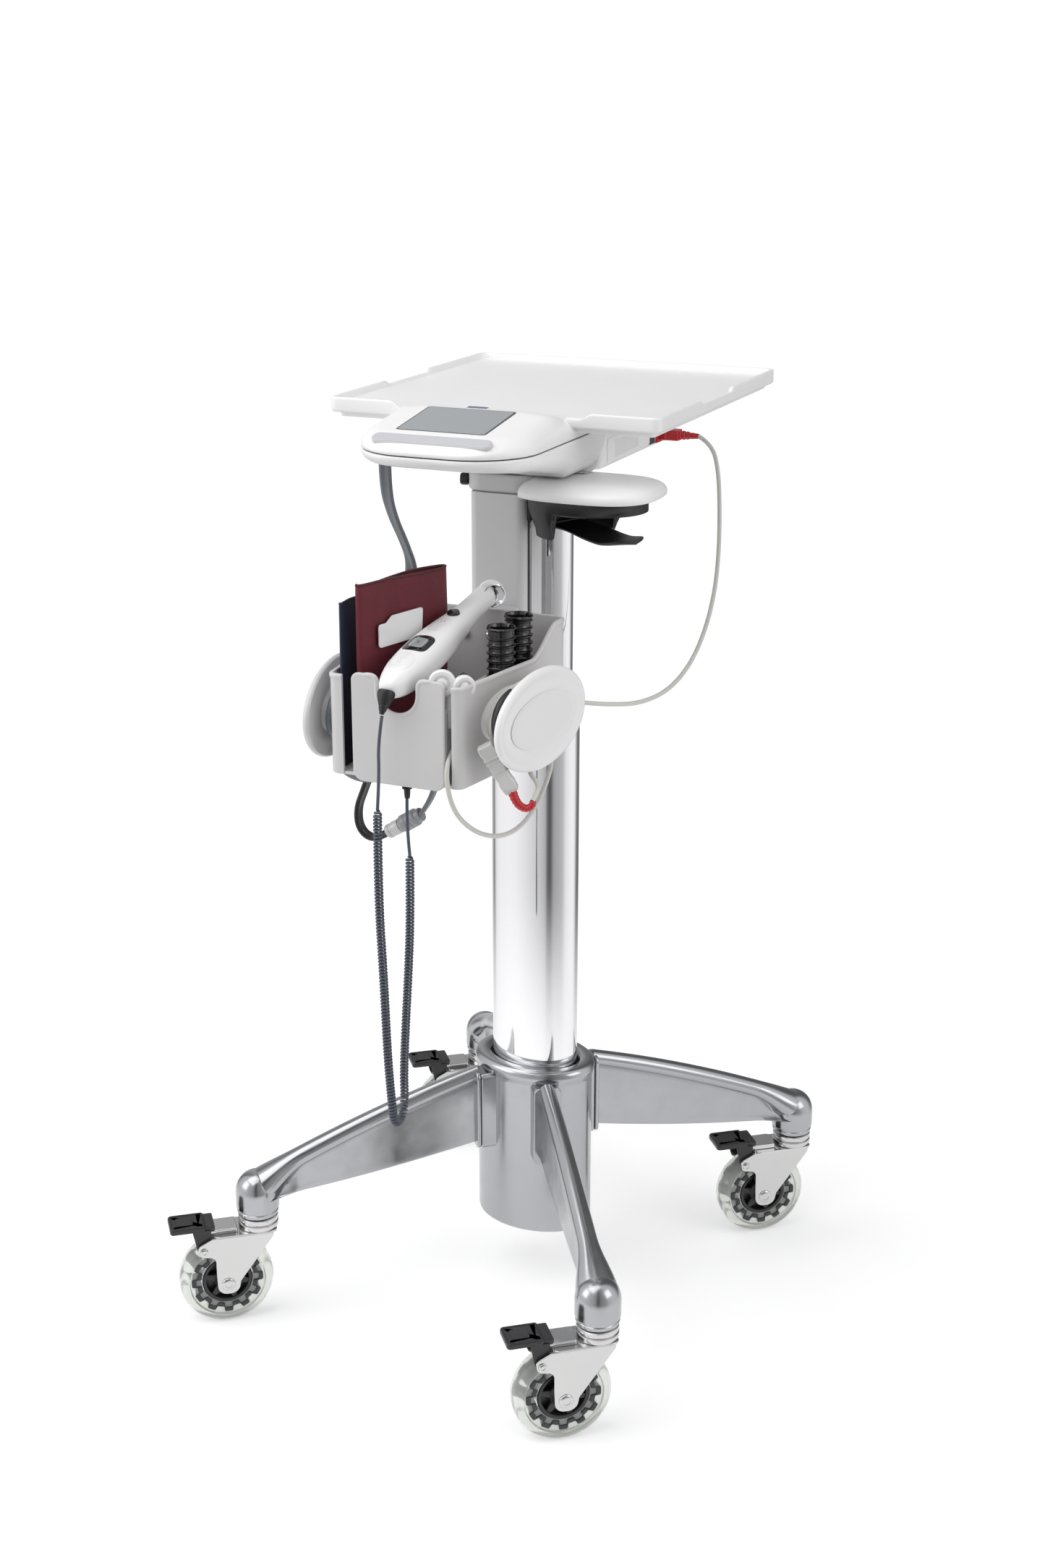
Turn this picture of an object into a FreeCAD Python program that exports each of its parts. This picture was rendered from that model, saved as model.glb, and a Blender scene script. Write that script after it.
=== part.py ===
"""Vital-signs monitor with a laptop tray on a rolling, height-adjustable stand.

Millimetres, +Z up, front towards -Y. Everything is laid out about the column's axis, and at the
end all of it is shifted so that the origin is the middle of the footprint, on the floor.
"""
import FreeCAD, Part
import math
import os

os.makedirs("parts", exist_ok=True)
V = FreeCAD.Vector
UP = V(0, 0, 1)

# ---- running fits and gaps ------------------------------------------------------------------
FIT = 0.05                 # radial clearance of a shaft in its hole
GAP = 0.3                  # clearance between soft or curved neighbours

# ---- base and legs --------------------------------------------------------------------------
BASE_TURN = -7.3           # the base is turned this far under the head, degrees
STEM_X, STEM_Y = 206.5, 231.0
HUB_A, HUB_B = 65.6, 48.6  # half-axes of the oval hub
HUB_Z0, HUB_Z1 = 71.0, 265.0
HUB_FLOOR = 12.0
HUB_BEAD = 6.0
HUB_BOSS_R = 65.0          # reach of the four flats that the legs bolt to
HUB_BOSS_W = 28.0
LEG_ROOT_Z0, LEG_ROOT_Z1 = 170.0, 247.0
LEG_WEB = 16.0
LEG_BEAD_R = 10.0
LEG_TIP_Z0 = 139.0
LEG_BELLY = 4.0            # how far the lower edge sags below a straight line at mid length
LEG_CROWN = 6.0            # how far the crest stands above a straight line at mid length
BOSS_R = 23.0
BOSS_Z0, BOSS_Z1 = 122.0, 147.0
STEM_R = 8.0
STEM_TOP = 150.0
SCREW_R = 3.0

# ---- casters --------------------------------------------------------------------------------
TRAIL_ANGLE = 218.0        # all four casters trail this way, degrees from +X
TRAIL = 37.0
WHEEL_R = 50.0
TYRE_W = 28.0
RING_R = 38.0              # crown of the toothed ring that sits in the tyre
RING_ROOT = 33.0
RING_TEETH = 12
CORE_W = 22.0
CORE_HUB_R = 12.0
AXLE_R = 6.0
FORK_PLATE_Z = 104.0
FORK_T = 3.0
FORK_IN = 17.0             # half the gap between the fork's cheeks
RACE_R = 21.0
PIVOT_X, PIVOT_Z = 61.0, 92.0
PIVOT_R = 3.0
PEDAL_X0, PEDAL_X1 = 47.0, 95.0
PEDAL_EAR = 2.0
PEDAL_W = 34.0
PEDAL_Z = 114.0
PEDAL_T = 6.0

# ---- column ---------------------------------------------------------------------------------
COL_A, COL_B = 48.9, 33.2
COL_WALL = 4.0
COL_TOP = 658.0
BUSH_LEN = 40.0
BUSH_LIP = 3.0
INNER_A, INNER_B = 41.0, 25.5
INNER_WALL = 3.0
INNER_Z0, INNER_Z1 = 338.0, 888.0
CAP_T = 6.0
POST_R = 15.0
POST_TOP = 910.0
SPRING_R = 14.0
SPRING_TOP = 500.0
SPRING_WALL = 2.5
ROD_R = 5.0
PISTON_Z = 230.0

# ---- head, spine and tray -------------------------------------------------------------------
BRACKET_X = 36.0
BRACKET_Y0, BRACKET_Y1 = -97.0, 45.0
BRACKET_Z0, BRACKET_Z1 = INNER_Z1 + CAP_T + FIT, 912.0
SPINE_HALF = 29.0
SPINE_Y0, SPINE_Y1 = -98.0, -54.0
SPINE_Z0 = 698.0
SPINE_T = 3.0
HEAD_HALF = 86.0
HEAD_FRONT = -255.0
HEAD_CORNER = 62.0
HEAD_BACK = -30.0
SEAM_Z = 953.0
SHELL_T = 3.0
TRAY_HALF = 170.0
TRAY_Y0, TRAY_Y1 = -114.0, 246.0
TRAY_Z0, TRAY_FLOOR, TRAY_RIM = 963.0, 972.0, 978.0
RIM_T = 6.0
NOTCH_Y0, NOTCH_Y1 = 2.0, 104.0
NOTCH_DEPTH = 4.0
SCREEN_W, SCREEN_L, SCREEN_T = 86.0, 69.0, 3.0
SCREEN_Y, SCREEN_Z, SCREEN_TILT = -185.0, 974.5, 8.4
STRIP_W, STRIP_L, STRIP_T = 115.0, 12.0, 3.0
STRIP_Y, STRIP_Z, STRIP_TILT = -238.0, 965.2, 26.0
BOX_HALF = 80.0
BOX_Y0, BOX_Y1 = -29.0, 172.0
BOX_Z0 = 908.0
BOARD_Z = 944.0
BOARD_T = 1.6

# ---- basket ---------------------------------------------------------------------------------
BIN_Z0, BIN_TOP, BIN_BACK_TOP = 670.0, 768.0, 792.0
BIN_T = 3.0
BIN_FRONT = -314.0
BIN_BACK = -138.0
BIN_BLOCK = 25.0           # half-width of the block that bolts the basket to the spine
BIN_STEP_Y = -190.0        # where the side walls start to rise
FRONT_HALF = 46.0
NOTCH_W, NOTCH_D = 40.0, 34.0
DIVIDER_X = 46.0
DIVIDER_TOP = 750.0
SIDE_FRONT_X, SIDE_BACK_X = 62.0, 92.0
POCKET_FRONT_X = 70.0      # the left side starts further out and leans less
POCKET_BACK_X = 86.0
STRIP_SLOT = 6.0           # gap between the front plate and the strips beside it
DISC_RY, DISC_RZ, DISC_T = 73.0, 47.0, 7.0
DISC_Y, DISC_Z = -240.0, 724.0
LEFT_DISC_Y, LEFT_DISC_Z = -246.0, 714.0
SPOOL_L, LEFT_SPOOL_L = 32.0, 18.0
SPOOL_RY, SPOOL_RZ = 42.0, 24.0
WIND_T = 12.0
WIND_X0 = 4.0             # gap from the basket to the turns, and from the turns to the disc

# ---- grip under the head --------------------------------------------------------------------
GRIP_X, GRIP_Y = 91.0, -85.0
GRIP_RX, GRIP_RY = 71.0, 58.0
GRIP_Z0, GRIP_Z1 = 899.0, BRACKET_Z1 - GAP
CUP_RIM_Z, CUP_Z0 = 882.0, 857.0
CUP_WALL = 4.0
LEVER_Z = 869.0
LEVER_TURN = -24.0         # the paddle points this far forward of straight right, degrees
LEVER_REACH = 90.0
LEVER_HALF = 23.0
LEVER_PIN_R = 2.0


# ---- what stands in the basket --------------------------------------------------------------
THERMO_R = 19.0
BUTTON_R, BUTTON_LEN = 6.0, 12.0
BUTTON_ROOT = 8.0          # from the thermometer's axis to the button's inner end
BUTTON_TRAVEL = 1.5
STACK_R = 13.8
CUFF_T = 18.0


# ---- shape helpers --------------------------------------------------------------------------
def turned(shape, angle, centre=V(0, 0, 0), axis=UP):
    """The shape turned by angle degrees about an axis through centre."""
    copy = shape.copy()
    copy.rotate(centre, axis, angle)
    return copy


def moved(shape, x=0.0, y=0.0, z=0.0):
    """The shape shifted."""
    copy = shape.copy()
    copy.translate(V(x, y, z))
    return copy


def box(x0, x1, y0, y1, z0, z1):
    """A plain block between two corners."""
    return Part.makeBox(x1 - x0, y1 - y0, z1 - z0, V(x0, y0, z0))


def rod(p, q, r):
    """A round bar from p to q."""
    return Part.makeCylinder(r, (q - p).Length, p, q - p)


def oval(a, b, z0, z1, x=0.0, y=0.0):
    """An upright oval bar with half-axes a along X and b along Y."""
    if a >= b:
        curve = Part.Ellipse(V(x, y, z0), a, b)
    else:
        curve = Part.Ellipse(V(x, y + b, z0), V(x - a, y, z0), V(x, y, z0))
    return Part.Face(Part.Wire(curve.toShape())).extrude(V(0, 0, z1 - z0))


def prism(points, direction):
    """A closed outline of points swept straight along direction."""
    return Part.Face(Part.makePolygon(points + points[:1])).extrude(direction)


def in_xz(points, y0, y1):
    """A prism of an outline given as (x, z), between two y."""
    return prism([V(x, y0, z) for x, z in points], V(0, y1 - y0, 0))


def in_yz(points, x0, x1):
    """A prism of an outline given as (y, z), between two x."""
    return prism([V(x0, y, z) for y, z in points], V(x1 - x0, 0, 0))


def in_xy(points, z0, z1):
    """A prism of an outline given as (x, y), between two z."""
    return prism([V(x, y, z0) for x, y in points], V(0, 0, z1 - z0))


def upright_edges(shape, reach=None):
    """The straight upright edges of a shape, those with y under reach if it is given."""
    found = []
    for edge in shape.Edges:
        a, b = edge.Vertexes[0].Point, edge.Vertexes[-1].Point
        if abs(a.x - b.x) < 1e-6 and abs(a.y - b.y) < 1e-6 and (reach is None or a.y < reach):
            found.append(edge)
    return found


def base_frame(shape):
    """The shape turned from the base's own axes to the head's."""
    return turned(shape, BASE_TURN)


# ---- cords ----------------------------------------------------------------------------------
def cord_path(points):
    """Straight runs joined by tangent arcs, each as large as its two runs allow."""
    edges = []
    radii = []
    start = points[0]
    for before, corner, after in zip(points, points[1:], points[2:]):
        a = (before - corner)
        b = (after - corner)
        turn = math.pi - a.getAngle(b)
        cut = 0.45 * min(a.Length, b.Length)
        radius = cut / math.tan(turn / 2)
        a.normalize()
        b.normalize()
        inward = (a + b)
        inward.normalize()
        centre = corner + inward * (radius / math.cos(turn / 2))
        p, q = corner + a * cut, corner + b * cut
        edges.append(Part.LineSegment(start, p).toShape())
        edges.append(Part.Arc(p, centre - inward * radius, q).toShape())
        radii.append(round(radius, 1))
        start = q
    edges.append(Part.LineSegment(start, points[-1]).toShape())
    return Part.Wire(edges), radii


def cord(name, r, points):
    """A cord's tube along its route, with its length and bends printed."""
    path, radii = cord_path(points)
    disc = Part.Wire(Part.Circle(points[0], points[1] - points[0], r).toShape())
    tube = path.makePipeShell([disc], True, False)
    print(name, "length", round(path.Length, 1), "radii", radii,
          "volume ratio", round(tube.Volume / (math.pi * r * r * path.Length), 4))
    return tube


# ---- base -----------------------------------------------------------------------------------
LEGS = {"front_right": (1, -1), "front_left": (-1, -1), "rear_right": (1, 1), "rear_left": (-1, 1)}
STEM_RADIUS = math.hypot(STEM_X, STEM_Y)


def leg_angle(sides):
    """The heading of one leg in the base's own axes, degrees."""
    return math.degrees(math.atan2(sides[1] * STEM_Y, sides[0] * STEM_X))


def hub_casting():
    """Oval hub with a rounded rim, a floor and a flat for each leg."""
    body = oval(HUB_A, HUB_B, HUB_Z0, HUB_Z1)
    rims = [e for e in body.Edges if abs(e.BoundBox.ZMin - e.BoundBox.ZMax) < 1e-6]
    body = body.makeFillet(HUB_BEAD, [e for e in rims if e.BoundBox.ZMin > HUB_Z0 + 1])
    for sides in LEGS.values():
        flat = box(0, HUB_BOSS_R, -HUB_BOSS_W / 2, HUB_BOSS_W / 2, LEG_ROOT_Z0 - 6, LEG_ROOT_Z1 + 3)
        body = body.fuse(turned(flat, leg_angle(sides)))
    bore = oval(COL_A + FIT, COL_B + FIT, HUB_Z0 + HUB_FLOOR, HUB_Z1 + 1)
    return base_frame(body.cut(bore).removeSplitter())


def leg_line(z0, z1, bulge):
    """Points (r, z) along one edge of a leg, from its root to its boss, bowed by bulge at mid length."""
    steps = 6
    line = []
    for i in range(steps + 1):
        share = i / steps
        r = HUB_BOSS_R + (STEM_RADIUS - HUB_BOSS_R) * share
        line.append((r, z0 + (z1 - z0) * share + bulge * 4 * share * (1 - share)))
    return line


def leg(sides):
    """Deep web with a bead along its crest, running out to a domed boss over the caster."""
    crest = leg_line(LEG_ROOT_Z1, BOSS_Z1 + BOSS_R - LEG_BEAD_R, LEG_CROWN)
    belly = leg_line(LEG_ROOT_Z0, LEG_TIP_Z0, -LEG_BELLY)
    body = in_xz(belly + crest[::-1], -LEG_WEB / 2, LEG_WEB / 2)
    points = [V(r, 0, z) for r, z in crest]
    for p, q in zip(points, points[1:]):
        body = body.fuse(rod(p, q, LEG_BEAD_R)).fuse(Part.makeSphere(LEG_BEAD_R, q))
    body = body.cut(box(0, HUB_BOSS_R, -40, 40, 0, 400))
    boss = Part.makeCylinder(BOSS_R, BOSS_Z1 - BOSS_Z0, V(STEM_RADIUS, 0, BOSS_Z0))
    dome = Part.makeSphere(BOSS_R, V(STEM_RADIUS, 0, BOSS_Z1))
    body = body.fuse(boss).fuse(dome)
    bore = Part.makeCylinder(STEM_R + FIT, STEM_TOP + 1 - BOSS_Z0, V(STEM_RADIUS, 0, BOSS_Z0))
    return base_frame(turned(body.cut(bore), leg_angle(sides)))


def outer_column():
    """Fixed oval tube, stood in the hub."""
    z0 = HUB_Z0 + HUB_FLOOR
    return base_frame(oval(COL_A, COL_B, z0, COL_TOP).cut(
        oval(COL_A - COL_WALL, COL_B - COL_WALL, z0 - 1, COL_TOP + 1)))


def column_bush():
    """Guide sleeve with a lip, in the top of the fixed tube."""
    sleeve = oval(COL_A - COL_WALL, COL_B - COL_WALL, COL_TOP - BUSH_LEN, COL_TOP)
    lip = oval(COL_A, COL_B, COL_TOP, COL_TOP + BUSH_LIP)
    bore = oval(INNER_A + FIT, INNER_B + FIT, COL_TOP - BUSH_LEN - 1, COL_TOP + BUSH_LIP + 1)
    return base_frame(sleeve.fuse(lip).cut(bore))


def gas_spring_cylinder():
    """Cylinder of the gas spring, stood on the hub's floor, with its gland at the top."""
    z0 = HUB_Z0 + HUB_FLOOR
    body = Part.makeCylinder(SPRING_R, SPRING_TOP - z0, V(0, 0, z0))
    body = body.cut(Part.makeCylinder(SPRING_R - SPRING_WALL, SPRING_TOP - z0 - 20, V(0, 0, z0 + 8)))
    return body.cut(Part.makeCylinder(ROD_R + FIT, 40, V(0, 0, SPRING_TOP - 20)))


# ---- casters, each built with its stem at the origin and trailing towards +X ---------------------
def caster_frame(shape, sides):
    """A caster piece moved to its stem under one leg."""
    stem = turned(Part.Vertex(sides[0] * STEM_X, sides[1] * STEM_Y, 0), BASE_TURN).Point
    return moved(turned(shape, TRAIL_ANGLE), stem.x, stem.y)


def caster_fork():
    """Top plate with a bearing race and stem, two cheeks, the axle bolt and the pedal's pin."""
    side = FORK_IN + FORK_T
    plate = box(-18, 50, -side, side, FORK_PLATE_Z, FORK_PLATE_Z + FORK_T)
    plate = plate.makeFillet(9, upright_edges(plate))
    z = FORK_PLATE_Z + FORK_T
    body = plate.fuse(Part.makeCylinder(RACE_R, BOSS_Z0 - 1 - z, V(0, 0, z)))
    body = body.fuse(Part.makeCylinder(STEM_R, STEM_TOP - z, V(0, 0, z)))
    cheek = [(-14, FORK_PLATE_Z), (TRAIL - 9, WHEEL_R - 4), (TRAIL + 9, WHEEL_R - 4), (TRAIL + 10, 84),
             (PIVOT_X + 6, PIVOT_Z - 5), (PIVOT_X + 6, PIVOT_Z + 5), (48, FORK_PLATE_Z)]
    for y0 in (FORK_IN, -side):
        arm = in_xz(cheek, y0, y0 + FORK_T)
        arm = arm.fuse(rod(V(TRAIL, y0, WHEEL_R), V(TRAIL, y0 + FORK_T, WHEEL_R), 10.5))
        body = body.fuse(arm)
    body = body.fuse(rod(V(TRAIL, -side, WHEEL_R), V(TRAIL, side, WHEEL_R), AXLE_R))
    inner = FORK_IN - PEDAL_EAR - 2 * GAP
    for x, z, head in ((TRAIL, WHEEL_R, 7.5), (PIVOT_X, PIVOT_Z, 4.5)):
        for sign in (-1, 1):
            face = V(x, sign * side, z)
            body = body.fuse(rod(face, V(x, sign * (side + 2.5), z), head))
            if x == PIVOT_X:
                body = body.fuse(rod(V(x, sign * inner, z), face, PIVOT_R))
    return body.removeSplitter()


def toothed_outline():
    """Outline of the ring's teeth about the wheel's centre, as (x, z)."""
    points = []
    for tooth in range(RING_TEETH):
        for share, r in ((-0.27, RING_ROOT), (-0.16, RING_R), (0.16, RING_R), (0.27, RING_ROOT)):
            angle = 2 * math.pi * (tooth + share) / RING_TEETH
            points.append((TRAIL + r * math.cos(angle), WHEEL_R + r * math.sin(angle)))
    return points


def wheel_core():
    """Hub of the wheel with the toothed ring that keys the tyre, bored for the axle."""
    core = in_xz(toothed_outline(), -CORE_W / 2, CORE_W / 2)
    half = FORK_IN - GAP
    core = core.fuse(rod(V(TRAIL, -half, WHEEL_R), V(TRAIL, half, WHEEL_R), CORE_HUB_R))
    return core.cut(rod(V(TRAIL, -20, WHEEL_R), V(TRAIL, 20, WHEEL_R), AXLE_R + FIT))


def wheel_tyre():
    """Soft tyre with rounded shoulders, moulded round the ring."""
    half = TYRE_W / 2
    body = rod(V(TRAIL, -half, WHEEL_R), V(TRAIL, half, WHEEL_R), WHEEL_R)
    body = body.makeFillet(9, [e for e in body.Edges if len(e.Vertexes) == 1])
    body = body.cut(rod(V(TRAIL, -half, WHEEL_R), V(TRAIL, half, WHEEL_R), 27.5))
    return body.cut(in_xz(toothed_outline(), -CORE_W / 2, CORE_W / 2))


def brake_pedal():
    """Foot pad with an ear at each side that turns on the pins in the fork's cheeks."""
    half = PEDAL_W / 2 - GAP
    pad = box(PEDAL_X0, PEDAL_X1, -half, half, PEDAL_Z, PEDAL_Z + PEDAL_T)
    body = pad.makeFillet(4, upright_edges(pad))
    for y in (-half, half - PEDAL_EAR):
        body = body.fuse(box(PIVOT_X - 6, PIVOT_X + 6, y, y + PEDAL_EAR, PIVOT_Z, PEDAL_Z))
        body = body.fuse(rod(V(PIVOT_X, y, PIVOT_Z), V(PIVOT_X, y + PEDAL_EAR, PIVOT_Z), 6))
    return body.cut(rod(V(PIVOT_X, -half, PIVOT_Z), V(PIVOT_X, half, PIVOT_Z), PIVOT_R + FIT))


# ---- rising column ----------------------------------------------------------------------------
def inner_column():
    """Oval tube that rises out of the fixed one."""
    return base_frame(oval(INNER_A, INNER_B, INNER_Z0, INNER_Z1).cut(
        oval(INNER_A - INNER_WALL, INNER_B - INNER_WALL, INNER_Z0 - 1, INNER_Z1 + 1)))


def column_cap():
    """Lid of the rising tube with the round post that the head turns on."""
    lid = oval(INNER_A, INNER_B, INNER_Z1, INNER_Z1 + CAP_T)
    post = Part.makeCylinder(POST_R, POST_TOP - INNER_Z1 - CAP_T, V(0, 0, INNER_Z1 + CAP_T))
    return base_frame(lid.fuse(post))


def gas_spring_rod():
    """Rod and piston of the gas spring, up to the lid."""
    piston = Part.makeCylinder(SPRING_R - SPRING_WALL - FIT, 12, V(0, 0, PISTON_Z))
    return piston.fuse(Part.makeCylinder(ROD_R, INNER_Z1 - PISTON_Z, V(0, 0, PISTON_Z)))


# ---- head -------------------------------------------------------------------------------------
def head_bracket():
    """Block under the head, bored for the post."""
    block = box(-BRACKET_X, BRACKET_X, BRACKET_Y0, BRACKET_Y1, BRACKET_Z0, BRACKET_Z1)
    block = block.makeFillet(20, upright_edges(block))
    return block.cut(Part.makeCylinder(POST_R + FIT, 40, V(0, 0, BRACKET_Z0 - 10)))


def spine():
    """Channel that hangs in front of the column and carries the basket."""
    outer = box(-SPINE_HALF, SPINE_HALF, SPINE_Y0, SPINE_Y1, SPINE_Z0, BRACKET_Z0)
    outer = outer.makeFillet(8, upright_edges(outer, SPINE_Y0 + 1))
    inner = SPINE_HALF - SPINE_T
    return outer.cut(box(-inner, inner, SPINE_Y0 + SPINE_T, SPINE_Y1 + 1, SPINE_Z0 - 1, BRACKET_Z0 - 4))


def head_outline(inset, z0, z1):
    """Rounded front and straight sides of the head, inset all round."""
    half, front = HEAD_HALF - inset, HEAD_FRONT + inset
    body = box(-half, half, front, HEAD_BACK - inset, z0, z1)
    return body.makeFillet(HEAD_CORNER - inset, upright_edges(body, front + 1))


def head_top(drop, inset):
    """The head's sloping top, lowered by drop."""
    z = SEAM_Z
    profile = [(-260, z - 45), (-260, z + 2), (-250, z + 7), (-230, z + 15), (-219, z + 17.5),
               (-151, z + 27.5), (-125, z + 25), (-100, TRAY_FLOOR), (-20, TRAY_FLOOR), (-20, z - 45)]
    low = in_yz([(y, z - drop) for y, z in profile], -HEAD_HALF, HEAD_HALF)
    return low.common(head_outline(inset, SEAM_Z if not inset else SEAM_Z - 5, 990))


def screen_blank(grow):
    """The screen's tilted slab, grown all round by grow."""
    w, length = SCREEN_W / 2 + grow, SCREEN_L / 2 + grow
    slab = box(-w, w, -length, length, -SCREEN_T - grow, 0)
    return moved(turned(slab, SCREEN_TILT, axis=V(1, 0, 0)), 0, SCREEN_Y, SCREEN_Z + 1.2)


def strip_blank(grow):
    """The light strip's tilted bar, grown all round by grow."""
    w, length = STRIP_W / 2 + grow, STRIP_L / 2 + grow
    bar = box(-w, w, -length, length, -STRIP_T - grow, 0)
    bar = bar.makeFillet(5, [e for e in bar.Edges if e.BoundBox.ZLength > STRIP_T - 0.1])
    return moved(turned(bar, STRIP_TILT, axis=V(1, 0, 0)), 0, STRIP_Y, STRIP_Z + 2.0)


def tray_deck():
    """Tray with a stepped rim, in one moulding with the head's top shell."""
    tray = box(-TRAY_HALF, TRAY_HALF, TRAY_Y0, TRAY_Y1, TRAY_Z0, TRAY_RIM)
    tray = tray.makeFillet(10, upright_edges(tray))
    inner = TRAY_HALF - RIM_T
    tray = tray.cut(box(-inner, inner, TRAY_Y0 - 1, TRAY_Y1 - RIM_T, TRAY_FLOOR, TRAY_RIM + 1))
    under = box(-inner, inner, TRAY_Y0 + RIM_T, TRAY_Y1 - RIM_T, TRAY_Z0 - 1, TRAY_FLOOR - SHELL_T)
    ribs = box(-3, 3, TRAY_Y0, TRAY_Y1, 0, 1000)
    for x in (-120, -60, 60, 120):
        ribs = ribs.fuse(box(x - 1.5, x + 1.5, TRAY_Y0, TRAY_Y1, 0, 1000))
    tray = tray.cut(under.cut(ribs))
    for x in (-TRAY_HALF - 1, inner - 1):
        tray = tray.cut(box(x, x + RIM_T + 2, NOTCH_Y0, NOTCH_Y1, TRAY_RIM - NOTCH_DEPTH, TRAY_RIM + 1))
    head = head_top(0, 0)
    body = tray.fuse(head).cut(head_top(SHELL_T + 0.5, SHELL_T))
    for blank in (screen_blank, strip_blank):
        body = body.fuse(blank(SHELL_T).common(head)).cut(blank(0))
    return body.removeSplitter()


def monitor_lower_shell():
    """Tub of the head under the seam, with posts for the board."""
    profile = [(-260, SEAM_Z - 9), (-240, SEAM_Z - 13), (-170, SEAM_Z - 20), (-97, BRACKET_Z1 + 5),
               (-97, BRACKET_Z1), (-29, BRACKET_Z1), (-29, SEAM_Z), (-260, SEAM_Z)]
    half = HEAD_HALF
    tub = in_yz(profile, -half, half).common(head_outline(0, BRACKET_Z1 - 5, SEAM_Z))
    hollow = in_yz([(y, z + SHELL_T if z < SEAM_Z else z + 1) for y, z in profile], -half, half)
    solid = tub.cut(hollow.common(head_outline(SHELL_T, BRACKET_Z1, SEAM_Z + 5)))
    for x in (-50, 50):
        for y in (-190, -80):
            solid = solid.fuse(Part.makeCylinder(4, BOARD_Z - BRACKET_Z1, V(x, y, BRACKET_Z1)).common(tub))
    return solid.removeSplitter()


def circuit_board():
    """Main board on the posts of the tub."""
    board = box(-62, 62, -202, -66, BOARD_Z, BOARD_Z + BOARD_T)
    for x, y, w, d, h in ((-30, -150, 28, 28, 2.5), (25, -110, 34, 22, 3), (20, -175, 18, 12, 4)):
        board = board.fuse(box(x - w / 2, x + w / 2, y - d / 2, y + d / 2, BOARD_Z, BOARD_Z + BOARD_T + h))
    return board


def module_box():
    """Rear casing under the tray, with ventilation behind and sockets in its right side."""
    top = TRAY_Z0
    body = box(-BOX_HALF, BOX_HALF, BOX_Y0, BOX_Y1, BOX_Z0, top)
    body = body.makeFillet(8, upright_edges(body))
    wall = SHELL_T
    body = body.cut(box(-BOX_HALF + wall, BOX_HALF - wall, BOX_Y0 + wall, BOX_Y1 - wall, BOX_Z0 + wall, top - wall))
    body = body.cut(box(-BRACKET_X - GAP, BRACKET_X + GAP, BOX_Y0 - 1, BRACKET_Y1 + GAP, BOX_Z0 - 1,
                        BRACKET_Z1 + GAP))
    lintel = box(-BRACKET_X - 4, BRACKET_X + 4, BOX_Y0, BRACKET_Y1 + 4, BRACKET_Z1 + GAP, BRACKET_Z1 + 4)
    return body.fuse(lintel).removeSplitter()


def battery_pack():
    """Rechargeable pack on the floor of the rear casing."""
    pack = box(-55, 55, 70, 150, BOX_Z0 + SHELL_T, BOX_Z0 + SHELL_T + 32)
    return pack.makeFillet(3, upright_edges(pack))


# ---- basket -----------------------------------------------------------------------------------
def side_wall(sign, front_x, back_x):
    """One outer side of the basket, leaning outwards to the back, where it steps up."""
    rise = [(BIN_FRONT, BIN_Z0), (BIN_BACK, BIN_Z0), (BIN_BACK, BIN_BACK_TOP),
            (BIN_STEP_Y + 26, BIN_BACK_TOP), (BIN_STEP_Y, BIN_TOP - 4), (BIN_FRONT, BIN_TOP - 4)]
    slab = in_yz(rise, -130, 130)
    plan = [(sign * front_x, BIN_FRONT), (sign * back_x, BIN_BACK), (sign * (back_x - BIN_T), BIN_BACK),
            (sign * (front_x - BIN_T), BIN_FRONT)]
    return in_xy(plan, BIN_Z0, BIN_BACK_TOP).common(slab)


def basket_bin():
    """Open basket: front plate with a notch, a strip at each side of it, a divided bin at the right."""
    t = BIN_T
    floor = [(-POCKET_FRONT_X, BIN_FRONT), (SIDE_FRONT_X, BIN_FRONT), (SIDE_BACK_X, BIN_BACK),
             (-POCKET_BACK_X, BIN_BACK)]
    body = in_xy(floor, BIN_Z0, BIN_Z0 + t)
    body = body.fuse(side_wall(1, SIDE_FRONT_X, SIDE_BACK_X))
    body = body.fuse(side_wall(-1, POCKET_FRONT_X, POCKET_BACK_X))
    body = body.fuse(box(-POCKET_BACK_X, SIDE_BACK_X, BIN_BACK - t, BIN_BACK, BIN_Z0, BIN_BACK_TOP))
    plate = box(-FRONT_HALF, FRONT_HALF, BIN_FRONT, BIN_FRONT + t, BIN_Z0, BIN_TOP)
    notch = box(-NOTCH_W / 2, NOTCH_W / 2, BIN_FRONT - 1, BIN_FRONT + t + 1, BIN_TOP - NOTCH_D, BIN_TOP + 1)
    body = body.fuse(plate.cut(notch))
    for x0, x1 in ((-POCKET_FRONT_X, -FRONT_HALF - 2 * STRIP_SLOT), (FRONT_HALF + STRIP_SLOT, SIDE_FRONT_X)):
        body = body.fuse(box(x0, x1, BIN_FRONT, BIN_FRONT + t, BIN_Z0, BIN_TOP - 4))
    body = body.fuse(box(DIVIDER_X - t, DIVIDER_X, BIN_FRONT + 2, BIN_BACK, BIN_Z0, DIVIDER_TOP))
    block = box(-BIN_BLOCK, BIN_BLOCK, BIN_BACK - 1, SPINE_Y0, BIN_Z0 + 30, BIN_BACK_TOP - 6)
    return body.fuse(block).removeSplitter()


def wall_angle(front_x, back_x):
    """How far a basket side leans outwards, degrees."""
    return math.degrees(math.atan2(back_x - front_x, BIN_BACK - BIN_FRONT))


def wall_x(front_x, back_x, y):
    """The outer face of a basket side at y."""
    return front_x + (y - BIN_FRONT) * (back_x - front_x) / (BIN_BACK - BIN_FRONT)


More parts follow.
